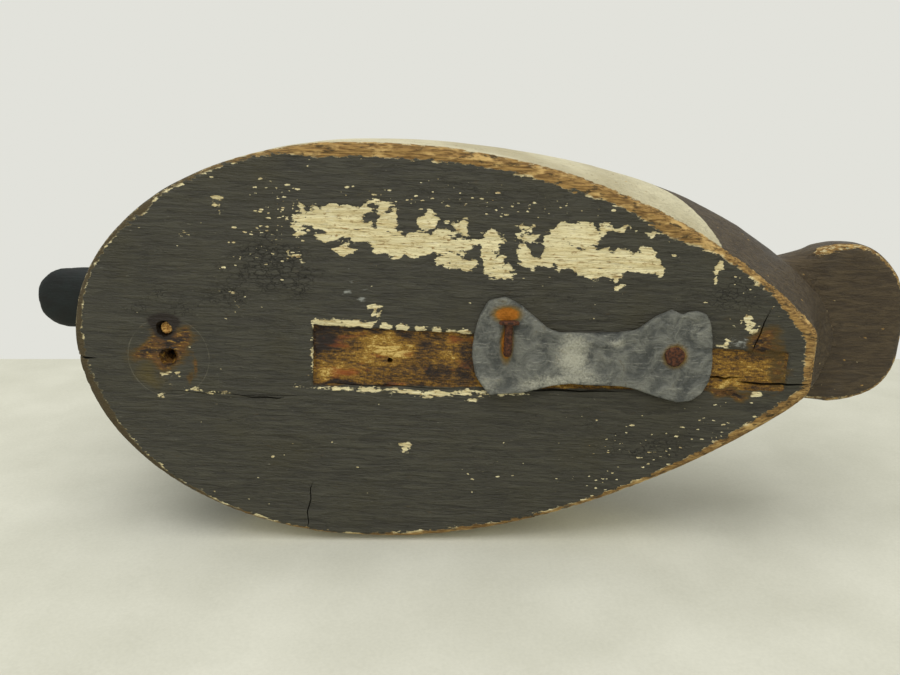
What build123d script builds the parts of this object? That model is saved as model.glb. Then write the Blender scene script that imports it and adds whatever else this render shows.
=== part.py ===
from build123d import *
import os
from math import cos, pi, sin, radians

# Floating duck decoy, a hand-carved working decoy of an oversize diving duck.
# Millimetres. The duck sits upright with its flat bottom down: bill towards -X, its left
# side towards -Y, +Z up. The shapes are drawn with the bottom face at Z = 0 and are moved
# together at the end, so that the origin is under the middle of the whole decoy.

# ---- driving dimensions -------------------------------------------------------------

# body block, carved from one piece of wood
BOTTOM_LENGTH = 312.0     # flat bottom, from the breast to the blunt end under the tail
BOTTOM_BREADTH = 172.0    # flat bottom, at its widest
BODY_BREADTH = 174.0      # over the flanks
RIGHT_FULLER = 2.0        # the duck's right half is carved this much wider than the middle
BODY_HEIGHT = 88.0        # bottom to the top of the back
WIDEST_HEIGHT = 30.0      # the flanks are fullest this far above the bottom
BREAST_OVERHANG = 8.0     # how far the breast stands out over the front of the bottom
RUMP_OVERHANG = 27.0      # how far the rump runs out over the end of the bottom
FULLEST_X = -34.0         # the widest station, behind the breast
CROWN_X = -80.0           # the back is highest here, behind the neck
BREAST_FULLNESS = 0.45    # under 1 rounds the breast up steeply
RUMP_FULLNESS = 0.90

# tail, a flared paddle on the same block
TAIL_REACH = 60.0         # tip of the tail beyond the end of the bottom
TAIL_LEFT = 43.0          # half breadth on the duck's left, from the centre line
TAIL_RIGHT = 29.0         # half breadth on its right, carved narrower
TAIL_LEFT_ROOT = 0.95     # share of that half breadth where the tail leaves the rump
TAIL_RIGHT_ROOT = 0.92
TAIL_ROUNDING = 0.62      # share of it left at the rounded end of the tail
TAIL_LEFT_BURIED = 0.80   # share of it inside the rump
TAIL_RIGHT_BURIED = 0.55
TAIL_TIP_UNDER = 48.0     # underside of the tip above the bottom
TAIL_TIP_THICKNESS = 9.0
TAIL_ROOT_UNDER = 36.0
TAIL_ROOT_TOP = 67.0
TAIL_ROOT_SETBACK = 60.0  # the paddle starts this far inside the end of the bottom
TAIL_CORNER = 20.0        # round corners of the paddle

# neck seat, a flat shelf cut in the back for the head
SEAT_SETBACK = 53.0       # centre of the seat behind the front of the bottom
SEAT_DROP = 4.0           # seat below the top of the back
SEAT_LENGTH = 72.0
SEAT_BREADTH = 58.0

# head and bill, carved from a second piece
NECK_LENGTH = 66.0
NECK_BREADTH = 50.0
HEAD_HEIGHT = 82.0        # neck seat to the crown
HEAD_LENGTH = 96.0        # nape to the root of the bill
HEAD_REACH = 57.0         # dowel to the root of the bill
HEAD_BREADTH = 48.0       # over the cheeks
BILL_LENGTH = 62.0
BILL_BREADTH = 34.0
BILL_THICKNESS = 17.0
BILL_RISE = 29.0          # middle of the bill above the neck seat
HEAD_TURN = 5.0           # degrees, towards the duck's right

# neck joint: a glued dowel and four toe nails
DOWEL_DIAMETER = 16.0
DOWEL_IN_BODY = 30.0
DOWEL_IN_HEAD = 28.0
DOWEL_CLEARANCE = 0.0     # glued in a hole of its own size
NECK_NAIL_DIAMETER = 2.4
NECK_NAIL_LENGTH = 34.0
NECK_NAIL_TILT = 28.0     # degrees from upright
NECK_NAIL_CLEARANCE = 0.05
NECK_NAIL_HEIGHT = 9.0    # where a nail goes in, above the seat
NECK_NAIL_ANGLES = (45, 135, 225, 315)    # round the foot of the neck

# glass eyes on wires
EYE_DIAMETER = 9.5
EYE_PROUD = 2.2
EYE_SUNK = 1.6            # rim of the glass below the carved cheek
EYE_WIRE_DIAMETER = 1.2
EYE_WIRE_LENGTH = 12.0
EYE_SETBACK = 22.0        # behind the root of the bill
EYE_RISE = 56.0           # above the neck seat

# keel strap let into the bottom; the strap itself is gone and its shallow bed is left
BED_LENGTH = 199.0
BED_FRONT_X = -55.0
BED_FRONT_BREADTH = 26.0
BED_REAR_BREADTH = 17.0
BED_DEPTH = 1.2
HARDWARE_Y = 4.5          # the old hardware line lies a little to the duck's right
STRAP_NAIL_X = -23.0
STRAP_NAIL_SETOVER = 3.5  # the old strap nail is this much right of the bed's middle
STRAP_NAIL_DIAMETER = 2.4
STRAP_NAIL_DEPTH = 14.0

# ballast: a pad of hammered sheet lead with two lobes and a waist
PAD_FRONT_X = 11.0
PAD_LENGTH = 101.0
PAD_FRONT_BREADTH = 43.0
PAD_WAIST_BREADTH = 23.0
PAD_REAR_BREADTH = 40.0
PAD_THICKNESS = 2.2
PAD_Y = -1.5

# ballast nails
NAIL_DIAMETER = 3.4
NAIL_LENGTH = 32.0
NAIL_HEAD_DIAMETER = 8.4
NAIL_HEAD_THICKNESS = 1.4
NAIL_CLEARANCE = 0.0      # driven, so the wood grips the shank
BENT_NAIL_X = 26.0
BENT_NAIL_Y = 0.5
BENT_NAIL_RUN = 13.0      # shank hammered flat towards the duck's left
BENT_HEAD_HEIGHT = 4.6    # its head, flattened by the hammer
REAR_NAIL_X = 96.0
REAR_NAIL_Y = -1.2

# anchor line tie: two old holes, one plugged by the broken leg of the lost staple
TIE_X = -118.0
TIE_SPACING = 12.0
TIE_SETOVER = 2.2         # the pair of holes is this much left of the strap's middle line
TIE_OPEN_DIAMETER = 4.2
TIE_OPEN_DEPTH = 25.0
TIE_MOUTH_DIAMETER = 8.4
TIE_MOUTH_DEPTH = 2.0
TIE_STUB_DIAMETER = 5.0
TIE_STUB_LENGTH = 16.0
TIE_STUB_SUNK = 2.0

# ---- derived places -----------------------------------------------------------------

FRONT_X = -BOTTOM_LENGTH / 2
REAR_X = BOTTOM_LENGTH / 2
SEAT_X = FRONT_X + SEAT_SETBACK
SEAT_Z = BODY_HEIGHT - SEAT_DROP
PAD_REAR_X = PAD_FRONT_X + PAD_LENGTH
TIE_STUB_Y = HARDWARE_Y - TIE_SETOVER - TIE_SPACING / 2
TIE_OPEN_Y = TIE_STUB_Y + TIE_SPACING

# Level cuts through the body. The lower ones stand on the flat bottom; above the widest
# level the back closes in like a half egg, one cut at each of these angles of rise.
# Straight facets between close cuts follow a hand-carved block well.
SIDE_LEVELS = (
    # share of the widest level's height, share of the breast overhang, rear reach, taper,
    # power of the left side's taper
    (0.0, 0.00, 5.0, 0.43, 3),
    (0.5, 0.60, 16.0, 0.39, 4),
    (1.0, 1.00, RUMP_OVERHANG, 0.35, 5),
)
FULLEST_SETBACK = 10.0    # how much further back the widest level is fullest than the bottom
BACK_ANGLES = (9, 18, 27, 36, 45, 53, 61, 68, 75, 81, 86)
BACK_TAPER = 0.35
BACK_LEFT_POWER = 5       # the left side stays full further back than the right
RIGHT_TAPER_POWER = 2
OUTLINE_POINTS = 28


def outline(front, fullest, rear, breadth, taper, left_power, z):
    """One level cut: a half ellipse at the breast, thinned towards the tail."""
    points = []
    for i in range(OUTLINE_POINTS):
        turn = 2 * pi * i / OUTLINE_POINTS
        share = cos(turn)
        is_right = sin(turn) > 0
        reach = (rear - fullest) if share > 0 else (fullest - front)
        power = RIGHT_TAPER_POWER if is_right else left_power
        thin = 1 - taper * max(share, 0) ** power
        fuller = RIGHT_FULLER * breadth / BODY_BREADTH
        half = breadth / 2 + (fuller if is_right else -fuller)
        points.append((fullest + reach * share, half * sin(turn) * thin, z))
    return Face(Wire([Spline(*points, periodic=True)]))


def body_block():
    """The body without its tail, from the flat bottom to the back."""
    cuts = []
    for height, overhang, reach, taper, left_power in SIDE_LEVELS:
        breadth = BOTTOM_BREADTH + (BODY_BREADTH - BOTTOM_BREADTH) * height
        cuts.append(outline(FRONT_X - overhang * BREAST_OVERHANG,
                            FULLEST_X + height * FULLEST_SETBACK,
                            REAR_X + reach, breadth, taper, left_power, height * WIDEST_HEIGHT))
    widest_x = FULLEST_X + FULLEST_SETBACK
    breast = FRONT_X - BREAST_OVERHANG
    rump = REAR_X + RUMP_OVERHANG
    for angle in BACK_ANGLES:
        share = cos(radians(angle))
        rise = WIDEST_HEIGHT + (BODY_HEIGHT - WIDEST_HEIGHT) * sin(radians(angle))
        cuts.append(outline(CROWN_X + (breast - CROWN_X) * share ** BREAST_FULLNESS,
                            CROWN_X + (widest_x - CROWN_X) * share,
                            CROWN_X + (rump - CROWN_X) * share ** RUMP_FULLNESS,
                            BODY_BREADTH * share, BACK_TAPER, BACK_LEFT_POWER, rise))
    return loft(cuts, ruled=True) & end_trim()


def end_trim():
    """Keeps what lies ahead of the blunt end of the bottom and above the slope under the tail."""
    far = REAR_X + TAIL_REACH
    high = BODY_HEIGHT + 1
    low = FRONT_X - 2 * BREAST_OVERHANG
    under = Spline((REAR_X, 0), (REAR_X + 5, TAIL_ROOT_UNDER * 0.55), (far, TAIL_TIP_UNDER),
                   tangents=((0.1, 1), (1, 0.1)))
    rest = Polyline((far, TAIL_TIP_UNDER), (far, high), (low, high), (low, 0), (REAR_X, 0))
    side = Face(Wire([under, *rest.edges()]))
    return extrude(Plane.XZ * side, BODY_BREADTH, both=True)


def tail():
    """The paddle: its plan carried up, kept between an upper and a lower surface."""
    root = REAR_X - TAIL_ROOT_SETBACK
    tip = REAR_X + TAIL_REACH
    corner = tip - TAIL_CORNER
    buried_left = (root, -TAIL_LEFT * TAIL_LEFT_BURIED)
    buried_right = (root, TAIL_RIGHT * TAIL_RIGHT_BURIED)
    paddle = Spline(buried_right, (REAR_X + 4, TAIL_RIGHT * TAIL_RIGHT_ROOT),
                    (corner, TAIL_RIGHT), (tip - 4, TAIL_RIGHT * TAIL_ROUNDING), (tip, -2),
                    (tip - 4, -TAIL_LEFT * TAIL_ROUNDING), (corner, -TAIL_LEFT),
                    (REAR_X + 4, -TAIL_LEFT * TAIL_LEFT_ROOT), buried_left)
    plan = Face(Wire([Line(buried_left, buried_right), paddle]))
    column = extrude(plan, BODY_HEIGHT, dir=(0, 0, 1))
    upper_tip = TAIL_TIP_UNDER + TAIL_TIP_THICKNESS
    under = Spline((root - 1, TAIL_ROOT_UNDER), (REAR_X + 14, TAIL_TIP_UNDER - 5), (tip + 1, TAIL_TIP_UNDER))
    over = Spline((tip + 1, upper_tip), (REAR_X + 14, upper_tip + 1.5), (root - 1, TAIL_ROOT_TOP))
    side = Face(Wire([under, Line(under @ 1, over @ 0), over, Line(over @ 1, under @ 0)]))
    slab = extrude(Plane.XZ * side, 2 * max(TAIL_LEFT, TAIL_RIGHT), both=True)
    return column & slab


def hole(x, y, diameter, depth):
    """A round hole up into the flat bottom."""
    return Pos(x, y, 0) * Cylinder(diameter / 2, depth, align=(Align.CENTER, Align.CENTER, Align.MIN))


def strap_bed():
    """The shallow tapered bed of the lost keel strap."""
    front = BED_FRONT_BREADTH / 2
    rear = BED_REAR_BREADTH / 2
    end = BED_FRONT_X + BED_LENGTH
    plan = Face(Wire(Polyline((BED_FRONT_X, HARDWARE_Y - front), (BED_FRONT_X, HARDWARE_Y + front),
                              (end, HARDWARE_Y + rear), (end, HARDWARE_Y - rear), close=True)))
    return extrude(plan, BED_DEPTH, dir=(0, 0, 1))


def seat_cutter():
    """What is cut away over the neck seat."""
    shape = Pos(SEAT_X, 0, SEAT_Z) * extrude(Ellipse(SEAT_LENGTH / 2, SEAT_BREADTH / 2), BODY_HEIGHT)
    return shape


def body():
    block = body_block() + tail()
    block -= seat_cutter()
    block -= strap_bed()
    block -= hole(STRAP_NAIL_X, HARDWARE_Y + STRAP_NAIL_SETOVER, STRAP_NAIL_DIAMETER, STRAP_NAIL_DEPTH)
    block -= hole(TIE_X, TIE_OPEN_Y, TIE_OPEN_DIAMETER, TIE_OPEN_DEPTH)
    mouth = Cone(TIE_MOUTH_DIAMETER / 2, TIE_OPEN_DIAMETER / 2, TIE_MOUTH_DEPTH,
                 align=(Align.CENTER, Align.CENTER, Align.MIN))
    block -= Pos(TIE_X, TIE_OPEN_Y, 0) * mouth
    block -= hole(TIE_X, TIE_STUB_Y, TIE_STUB_DIAMETER, TIE_STUB_SUNK + TIE_STUB_LENGTH)
    block -= hole(BENT_NAIL_X, BENT_NAIL_Y, NAIL_DIAMETER + 2 * NAIL_CLEARANCE, NAIL_LENGTH)
    block -= hole(REAR_NAIL_X, REAR_NAIL_Y, NAIL_DIAMETER + 2 * NAIL_CLEARANCE, NAIL_LENGTH)
    block -= dowel(DOWEL_CLEARANCE)
    for nail in neck_nail_list(NECK_NAIL_CLEARANCE):
        block -= nail
    return block


def dowel(clearance=0.0):
    """The neck dowel, standing half in the body and half in the head."""
    length = DOWEL_IN_BODY + DOWEL_IN_HEAD + 2 * clearance
    rod = Cylinder(DOWEL_DIAMETER / 2 + clearance, length, align=(Align.CENTER, Align.CENTER, Align.MIN))
    return Pos(SEAT_X, 0, SEAT_Z - DOWEL_IN_BODY - clearance) * rod


def neck_nail_list(clearance=0.0):
    """Four toe nails, slanting in through the foot of the neck towards the body's middle."""
    nails = []
    for angle in NECK_NAIL_ANGLES:
        out = (NECK_LENGTH / 2 * cos(radians(angle)), NECK_BREADTH / 2 * sin(radians(angle)))
        place = Pos(SEAT_X + out[0], out[1], SEAT_Z + NECK_NAIL_HEIGHT)
        lean = Rot(0, 0, angle) * Rot(0, NECK_NAIL_TILT, 0)
        rod = Cylinder(NECK_NAIL_DIAMETER / 2 + clearance, NECK_NAIL_LENGTH + 2 * clearance,
                       align=(Align.CENTER, Align.CENTER, Align.MAX))
        nails.append(place * lean * Pos(0, 0, clearance) * rod)
    return nails


def bill_root():
    """Where the bill meets the face, ahead of the dowel."""
    return SEAT_X - HEAD_REACH


def egg(x, breadth, low, high, z):
    """One upright cut across the head or the bill."""
    middle = z + (low + high) / 2
    across = Plane(origin=(x, 0, middle), x_dir=(0, 1, 0), z_dir=(-1, 0, 0))
    return across * Ellipse(breadth / 2, (high - low) / 2)


def skull_and_bill():
    """Cuts from the nape to the tip of the bill, seen from the neck seat up."""
    root = bill_root()
    nape = root + HEAD_LENGTH
    cheek = HEAD_HEIGHT
    stations = (
        (nape, HEAD_BREADTH * 0.30, cheek * 0.55, cheek * 0.70),
        (nape - HEAD_LENGTH * 0.06, HEAD_BREADTH * 0.66, cheek * 0.42, cheek * 0.86),
        (nape - HEAD_LENGTH * 0.28, HEAD_BREADTH * 0.96, cheek * 0.30, cheek * 0.985),
        (nape - HEAD_LENGTH * 0.52, HEAD_BREADTH * 1.00, cheek * 0.24, cheek * 1.00),
        (nape - HEAD_LENGTH * 0.78, HEAD_BREADTH * 0.86, cheek * 0.21, cheek * 0.88),
        (root, BILL_BREADTH * 0.90, BILL_RISE - BILL_THICKNESS * 0.62, BILL_RISE + BILL_THICKNESS * 1.05),
        (root - BILL_LENGTH * 0.30, BILL_BREADTH * 0.84, BILL_RISE - BILL_THICKNESS * 0.50,
         BILL_RISE + BILL_THICKNESS * 0.56),
        (root - BILL_LENGTH * 0.66, BILL_BREADTH * 1.00, BILL_RISE - BILL_THICKNESS * 0.44,
         BILL_RISE + BILL_THICKNESS * 0.30),
        (root - BILL_LENGTH * 0.90, BILL_BREADTH * 0.82, BILL_RISE - BILL_THICKNESS * 0.40,
         BILL_RISE + BILL_THICKNESS * 0.14),
        (root - BILL_LENGTH, BILL_BREADTH * 0.36, BILL_RISE - BILL_THICKNESS * 0.34,
         BILL_RISE - BILL_THICKNESS * 0.02),
    )
    return loft([egg(x, breadth, low, high, SEAT_Z) for x, breadth, low, high in stations])


def neck():
    """The neck, standing on the seat and running up into the cheeks."""
    cuts = []
    for rise, length, breadth, shift in ((0.0, 1.00, 1.00, 0.0), (0.16, 0.93, 0.90, -0.5),
                                         (0.36, 0.88, 0.80, -2.0), (0.56, 0.86, 0.72, -4.0)):
        place = Pos(SEAT_X + shift, 0, SEAT_Z + rise * HEAD_HEIGHT)
        cuts.append(place * Ellipse(length * NECK_LENGTH / 2, breadth * NECK_BREADTH / 2))
    return loft(cuts)


def turned(shape):
    """Turns a head piece about the dowel."""
    return Pos(SEAT_X, 0, 0) * Rot(0, 0, -HEAD_TURN) * Pos(-SEAT_X, 0, 0) * shape


def turned_back(shape):
    """Undoes the head's turn."""
    return Pos(SEAT_X, 0, 0) * Rot(0, 0, HEAD_TURN) * Pos(-SEAT_X, 0, 0) * shape


def eye_place(side):
    """Where an eye's glass meets the cheek, and which way it looks."""
    x = bill_root() + EYE_SETBACK
    return Pos(x, side * HEAD_BREADTH / 2, SEAT_Z + EYE_RISE) * Rot(-90 * side, 0, 0)


def eye(side, carved):
    """A glass dome on a wire stem; its inner face is set on the carved cheek."""
    probe = eye_place(side) * Pos(0, 0, -HEAD_BREADTH / 2) * Cylinder(0.2, HEAD_BREADTH)
    surface = (carved & probe).bounding_box()
    face_y = surface.max.Y if side > 0 else surface.min.Y
    out = face_y - side * (HEAD_BREADTH / 2 + EYE_SUNK)
    place = Pos(0, out, 0) * eye_place(side)
    rise = EYE_PROUD + EYE_SUNK
    radius = ((EYE_DIAMETER / 2) ** 2 + rise ** 2) / (2 * rise)
    ball = Pos(0, 0, rise - radius) * Sphere(radius)
    glass = ball & Cylinder(EYE_DIAMETER, rise, align=(Align.CENTER, Align.CENTER, Align.MIN))
    wire = Cylinder(EYE_WIRE_DIAMETER / 2, EYE_WIRE_LENGTH, align=(Align.CENTER, Align.CENTER, Align.MAX))
    return place * (glass + wire)


def lead_pad():
    """Sheet lead hammered into two lobes and a waist, flat against the bottom."""
    middle = (PAD_FRONT_X + PAD_REAR_X) / 2
    front, waist, rear = PAD_FRONT_BREADTH / 2, PAD_WAIST_BREADTH / 2, PAD_REAR_BREADTH / 2
    lobe = PAD_LENGTH * 0.16
    side = ((PAD_FRONT_X + lobe, front), (middle, waist), (PAD_REAR_X - lobe, rear))
    points = [(PAD_FRONT_X, 0)]
    points += [(x, y) for x, y in side]
    points += [(PAD_REAR_X, 0)]
    points += [(x, -y) for x, y in reversed(side)]
    plan = Face(Wire([Spline(*points, periodic=True)]))
    return Pos(0, PAD_Y, -PAD_THICKNESS) * extrude(plan, PAD_THICKNESS, dir=(0, 0, 1))


def straight_nail():
    """Shank in the wood, a low domed head on the lead."""
    shank = Cylinder(NAIL_DIAMETER / 2, NAIL_LENGTH + PAD_THICKNESS,
                     align=(Align.CENTER, Align.CENTER, Align.MIN))
    head = Cylinder(NAIL_HEAD_DIAMETER / 2, NAIL_HEAD_THICKNESS,
                    align=(Align.CENTER, Align.CENTER, Align.MAX))
    head = chamfer(head.edges().filter_by(GeomType.CIRCLE).sort_by(Axis.Z)[0], NAIL_HEAD_THICKNESS * 0.5)
    return Pos(REAR_NAIL_X, REAR_NAIL_Y, -PAD_THICKNESS) * (shank + head)


def bent_nail():
    """Shank in the wood, then hammered flat over the lead, its head at the far end."""
    drop = -PAD_THICKNESS - NAIL_DIAMETER / 2
    bend = NAIL_DIAMETER * 0.8
    corner = (BENT_NAIL_X, BENT_NAIL_Y, drop)
    path = FilletPolyline((BENT_NAIL_X, BENT_NAIL_Y, NAIL_LENGTH), corner,
                          (BENT_NAIL_X, BENT_NAIL_Y - BENT_NAIL_RUN, drop), radius=bend)
    section = Plane(origin=path @ 0, z_dir=path % 0) * Circle(NAIL_DIAMETER / 2)
    shank = sweep(section, path=path)
    head = extrude(Plane(origin=(BENT_NAIL_X, BENT_NAIL_Y - BENT_NAIL_RUN, -PAD_THICKNESS - BENT_HEAD_HEIGHT / 2),
                         x_dir=(1, 0, 0), z_dir=(0, -1, 0))
                   * Ellipse(NAIL_HEAD_DIAMETER / 2, BENT_HEAD_HEIGHT / 2), NAIL_HEAD_THICKNESS)
    return shank + head


def tie_stub():
    """The broken leg left in the plugged hole, snapped off below the surface."""
    rod = Cylinder(TIE_STUB_DIAMETER / 2, TIE_STUB_LENGTH, align=(Align.CENTER, Align.CENTER, Align.MIN))
    return Pos(TIE_X, TIE_STUB_Y, TIE_STUB_SUNK) * rod


def build():
    carved = skull_and_bill() + neck()
    carved = turned(carved)
    eyes = {
        "eye_left": turned(eye(-1, turned_back(carved))),
        "eye_right": turned(eye(1, turned_back(carved))),
    }
    head = carved - dowel(DOWEL_CLEARANCE)
    for glass in eyes.values():
        head -= glass
    for nail in neck_nail_list(NECK_NAIL_CLEARANCE):
        head -= nail
    weight = lead_pad()
    rear_nail = straight_nail()
    front_nail = bent_nail()
    weight -= rear_nail
    weight -= front_nail
    return {
        "body": body(),
        "head": head,
        "neck_dowel": dowel(),
        "neck_nails": Compound([nail.solid() for nail in neck_nail_list()]),
        **eyes,
        "lead_weight": weight,
        "weight_nail_front": front_nail,
        "weight_nail_rear": rear_nail,
        "line_tie_stub": tie_stub(),
    }


def main():
    pieces = build()
    boxes = [piece.bounding_box() for piece in pieces.values()]
    low = [min(getattr(box.min, axis) for box in boxes) for axis in "XYZ"]
    high = [max(getattr(box.max, axis) for box in boxes) for axis in "XYZ"]
    shift = Pos(-(low[0] + high[0]) / 2, -(low[1] + high[1]) / 2, -low[2])
    os.makedirs("parts", exist_ok=True)
    for name, piece in pieces.items():
        export_step(shift * piece, f"parts/{name}.step")
        print(name, len(piece.solids()), "solid")
    print("bottom face centre is at", shift.position, "size", [round(b - a, 2) for a, b in zip(low, high)])


main()
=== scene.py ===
# %% [markdown]
# # A carved duck decoy, from plain solids to old paint
#
# The CAD model gives every part of this wooden hunting decoy its size and place, but its faces
# are as clean as a drawing. A real working decoy has been knocked about in boats for decades:
# its paint has flaked, its edges are worn to the wood and its iron has rusted away. This lesson
# keeps the CAD model as a fixed frame and builds the worn surfaces round it, one piece at a time.
#
# We load the frame first.

# %% Load the frame
import math

import bmesh
import bpy
from mathutils import Matrix, Vector, noise
from mathutils.kdtree import KDTree


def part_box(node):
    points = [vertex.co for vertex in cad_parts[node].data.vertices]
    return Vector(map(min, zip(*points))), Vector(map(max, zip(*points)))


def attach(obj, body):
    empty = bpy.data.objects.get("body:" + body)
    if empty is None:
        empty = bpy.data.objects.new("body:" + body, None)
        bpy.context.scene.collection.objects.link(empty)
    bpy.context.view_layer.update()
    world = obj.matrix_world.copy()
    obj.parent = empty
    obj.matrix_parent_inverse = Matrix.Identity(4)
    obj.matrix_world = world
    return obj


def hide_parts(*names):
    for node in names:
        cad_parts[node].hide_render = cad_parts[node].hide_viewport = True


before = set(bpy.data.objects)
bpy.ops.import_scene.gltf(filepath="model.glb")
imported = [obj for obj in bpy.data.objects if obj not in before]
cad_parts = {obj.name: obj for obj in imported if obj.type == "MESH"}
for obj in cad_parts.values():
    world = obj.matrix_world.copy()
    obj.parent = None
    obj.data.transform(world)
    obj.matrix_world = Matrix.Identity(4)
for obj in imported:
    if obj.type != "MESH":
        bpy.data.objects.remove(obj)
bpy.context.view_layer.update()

# %% [markdown]
# ## A ruler on the flat bottom
#
# Almost everything that is interesting on this decoy sits on its flat bottom: the lead weight, the
# holes of the anchor line, the bed of a lost keel strap. So we measure in millimetres from the
# middle of the bottom, with x towards the tail, y towards the duck's right and z up into the wood.
# One function turns such a place into a point of the frame.

# %% Measure from the middle of the bottom
MM = 0.001
STUB_AHEAD, STUB_TO_THE_LEFT = 118, 3.7
stub_low, stub_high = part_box("line_tie_stub")
stub_middle = (stub_low + stub_high) / 2
bottom = stub_middle + Vector((STUB_AHEAD, STUB_TO_THE_LEFT, 0)) * MM
bottom.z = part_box("body")[0].z


def at(x, y, z=0.0):
    """The point of the frame that is x, y, z millimetres from the middle of the flat bottom."""
    return Vector((x, y, z)) * MM + bottom


def ruler(point):
    """A point of the frame, in millimetres from the middle of the flat bottom."""
    return (point - bottom) / MM


print("middle of the bottom:", [round(c, 5) for c in bottom])

# %% [markdown]
# ## The camera
#
# The decoy lies on its right side on a table and shows its bottom to a camera that stands close,
# a little above it. Instead of turning the object we turn the camera: its picture plane is the
# bottom of the decoy, tipped back by a few degrees and rolled slightly, as a hand-held camera is.

# %% Place the camera
CAMERA_TILT = math.radians(14)
CAMERA_ROLL = math.radians(2.3)
CAMERA_DISTANCE = 378

picture_plane = Matrix(((1, 0, 0), (0, -1, 0), (0, 0, -1)))
camera_turn = Matrix.Rotation(-CAMERA_ROLL, 3, "Z") @ Matrix.Rotation(CAMERA_TILT, 3, "X")
camera_axes = picture_plane @ camera_turn.transposed()
camera_data = bpy.data.cameras.new("camera")
camera_data.lens = 36
camera_data.sensor_width = 36
camera_data.clip_start = 0.01
camera = bpy.data.objects.new("camera", camera_data)
bpy.context.scene.collection.objects.link(camera)
aim = at(1.76, -4.9)
camera.matrix_world = (
    Matrix.Translation(aim + camera_axes @ Vector((0, 0, CAMERA_DISTANCE * MM)))
    @ camera_axes.to_4x4()
)
bpy.context.scene.camera = camera
print("camera stands at", [round(c, 3) for c in camera.matrix_world.translation])

# %% [markdown]
# ## One way to add a node
#
# Materials are networks of nodes, and typing each node, setting and link by hand makes long
# scripts. One small function is enough for all of them: it adds a node, changes its settings,
# fills its inputs with numbers or with other nodes' outputs, and hands back an output to use next.
#
# Colours are written as the hex values that a paint chart gives. Blender's shaders count light in
# a linear scale, so one function converts them.

# %% Helpers for materials
def add(tree, kind, inputs=None, out=0, **settings):
    """Adds one node, sets it up, fills its inputs and returns the output to use."""
    made = tree.nodes.new("ShaderNode" + kind)
    for name, value in settings.items():
        setattr(made, name, value)
    for key, value in (inputs or {}).items():
        usable = [s for s in made.inputs if s.enabled]
        socket = made.inputs[key] if isinstance(key, int) else [s for s in usable if s.name == key][0]
        if isinstance(value, bpy.types.NodeSocket):
            tree.links.new(value, socket)
        else:
            socket.default_value = value
    shown = [s for s in made.outputs if s.enabled]
    return shown[out] if isinstance(out, int) else [s for s in shown if s.name == out][0]


def linear(hex_colour):
    """An sRGB hex colour as the linear colour that a shader takes."""
    parts = [int(hex_colour[i : i + 2], 16) / 255 for i in (1, 3, 5)]
    return [c / 12.92 if c <= 0.04045 else ((c + 0.055) / 1.055) ** 2.4 for c in parts] + [1]


def start_material(name):
    """A new material with an empty network, and its Object coordinates on the bottom's ruler."""
    material = bpy.data.materials.new(name)
    material.use_nodes = True
    tree = material.node_tree
    tree.nodes.clear()
    place = add(tree, "TexCoord", out="Object")
    mm = add(tree, "Mapping", {"Vector": place, "Location": -bottom / MM, "Scale": (1 / MM,) * 3})
    return material, tree, mm


def finish_material(tree, colour, roughness, height, **more):
    """Ends a network with a Principled shader. The height pattern is in millimetres."""
    normal = add(tree, "Bump", {"Height": height, "Distance": MM, "Strength": 1.0})
    inputs = {"Base Color": colour, "Roughness": roughness, "Normal": normal}
    inputs.update({name.replace("_", " "): value for name, value in more.items()})
    shader = add(tree, "BsdfPrincipled", inputs)
    add_output = tree.nodes.new("ShaderNodeOutputMaterial")
    tree.links.new(shader, add_output.inputs["Surface"])


def coat(tree, under, over, pattern, low, high):
    """Lays one colour over another: none of it where the pattern is low, all where it is high."""
    ends = {"Value": pattern, "From Min": low, "From Max": high}
    share = add(tree, "MapRange", ends, interpolation_type="SMOOTHSTEP")
    return add(tree, "Mix", {"Factor": share, "A": under, "B": over}, data_type="RGBA")


def distance_to(tree, mm, x, y, stretch_x=1.0, stretch_y=1.0):
    """Distance in mm from an upright line through a point of the bottom, stretched where asked."""
    moved = add(tree, "VectorMath", {0: mm, 1: (x, y, 0)}, operation="SUBTRACT")
    stretch = (1 / stretch_x, 1 / stretch_y, 0)
    scaled = add(tree, "VectorMath", {0: moved, 1: stretch}, operation="MULTIPLY")
    return add(tree, "VectorMath", {0: scaled}, out="Value", operation="LENGTH")


def ragged(tree, distance, reach, pattern, soft=0.2):
    """1 inside a worn patch and 0 outside it. The pattern pushes its edge about by reach mm."""
    pushed = add(tree, "Math", {0: pattern, 1: reach, 2: distance}, operation="MULTIPLY_ADD")
    return add(
        tree,
        "MapRange",
        {"Value": pushed, "From Min": reach / 2 + soft, "From Max": reach / 2 - soft},
        interpolation_type="SMOOTHSTEP",
    )


# %% [markdown]
# ## The table and the light
#
# The table is a pale grey felt. It is at right angles to the direction that is up for the camera,
# and it touches the decoy's right flank. The room behind it is a plain pale wall, which the world
# colour stands for. The light is that of a bright room: soft, mostly from above, with a weaker
# fill from the side of the camera.
#
# The other views look at the decoy from all round, even from under the table. So the table is
# seen only from its top side, and it casts no shadow on what is behind it.

# %% Table
TABLE_TIP = math.radians(14.5)
table_up = (camera_axes @ Vector((0, math.cos(TABLE_TIP), math.sin(TABLE_TIP)))).normalized()
table_back = (table_up.cross(camera_axes.col[0])).normalized()
if table_back.dot(camera_axes.col[2]) > 0:
    table_back.negate()
table_side = table_back.cross(table_up)
lowest = min((v.co.dot(table_up), v.index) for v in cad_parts["body"].data.vertices)
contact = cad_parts["body"].data.vertices[lowest[1]].co
TABLE_FAR_EDGE = 296
TABLE_NEAR_EDGE = 700
TABLE_HALF_WIDTH = 900

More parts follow.
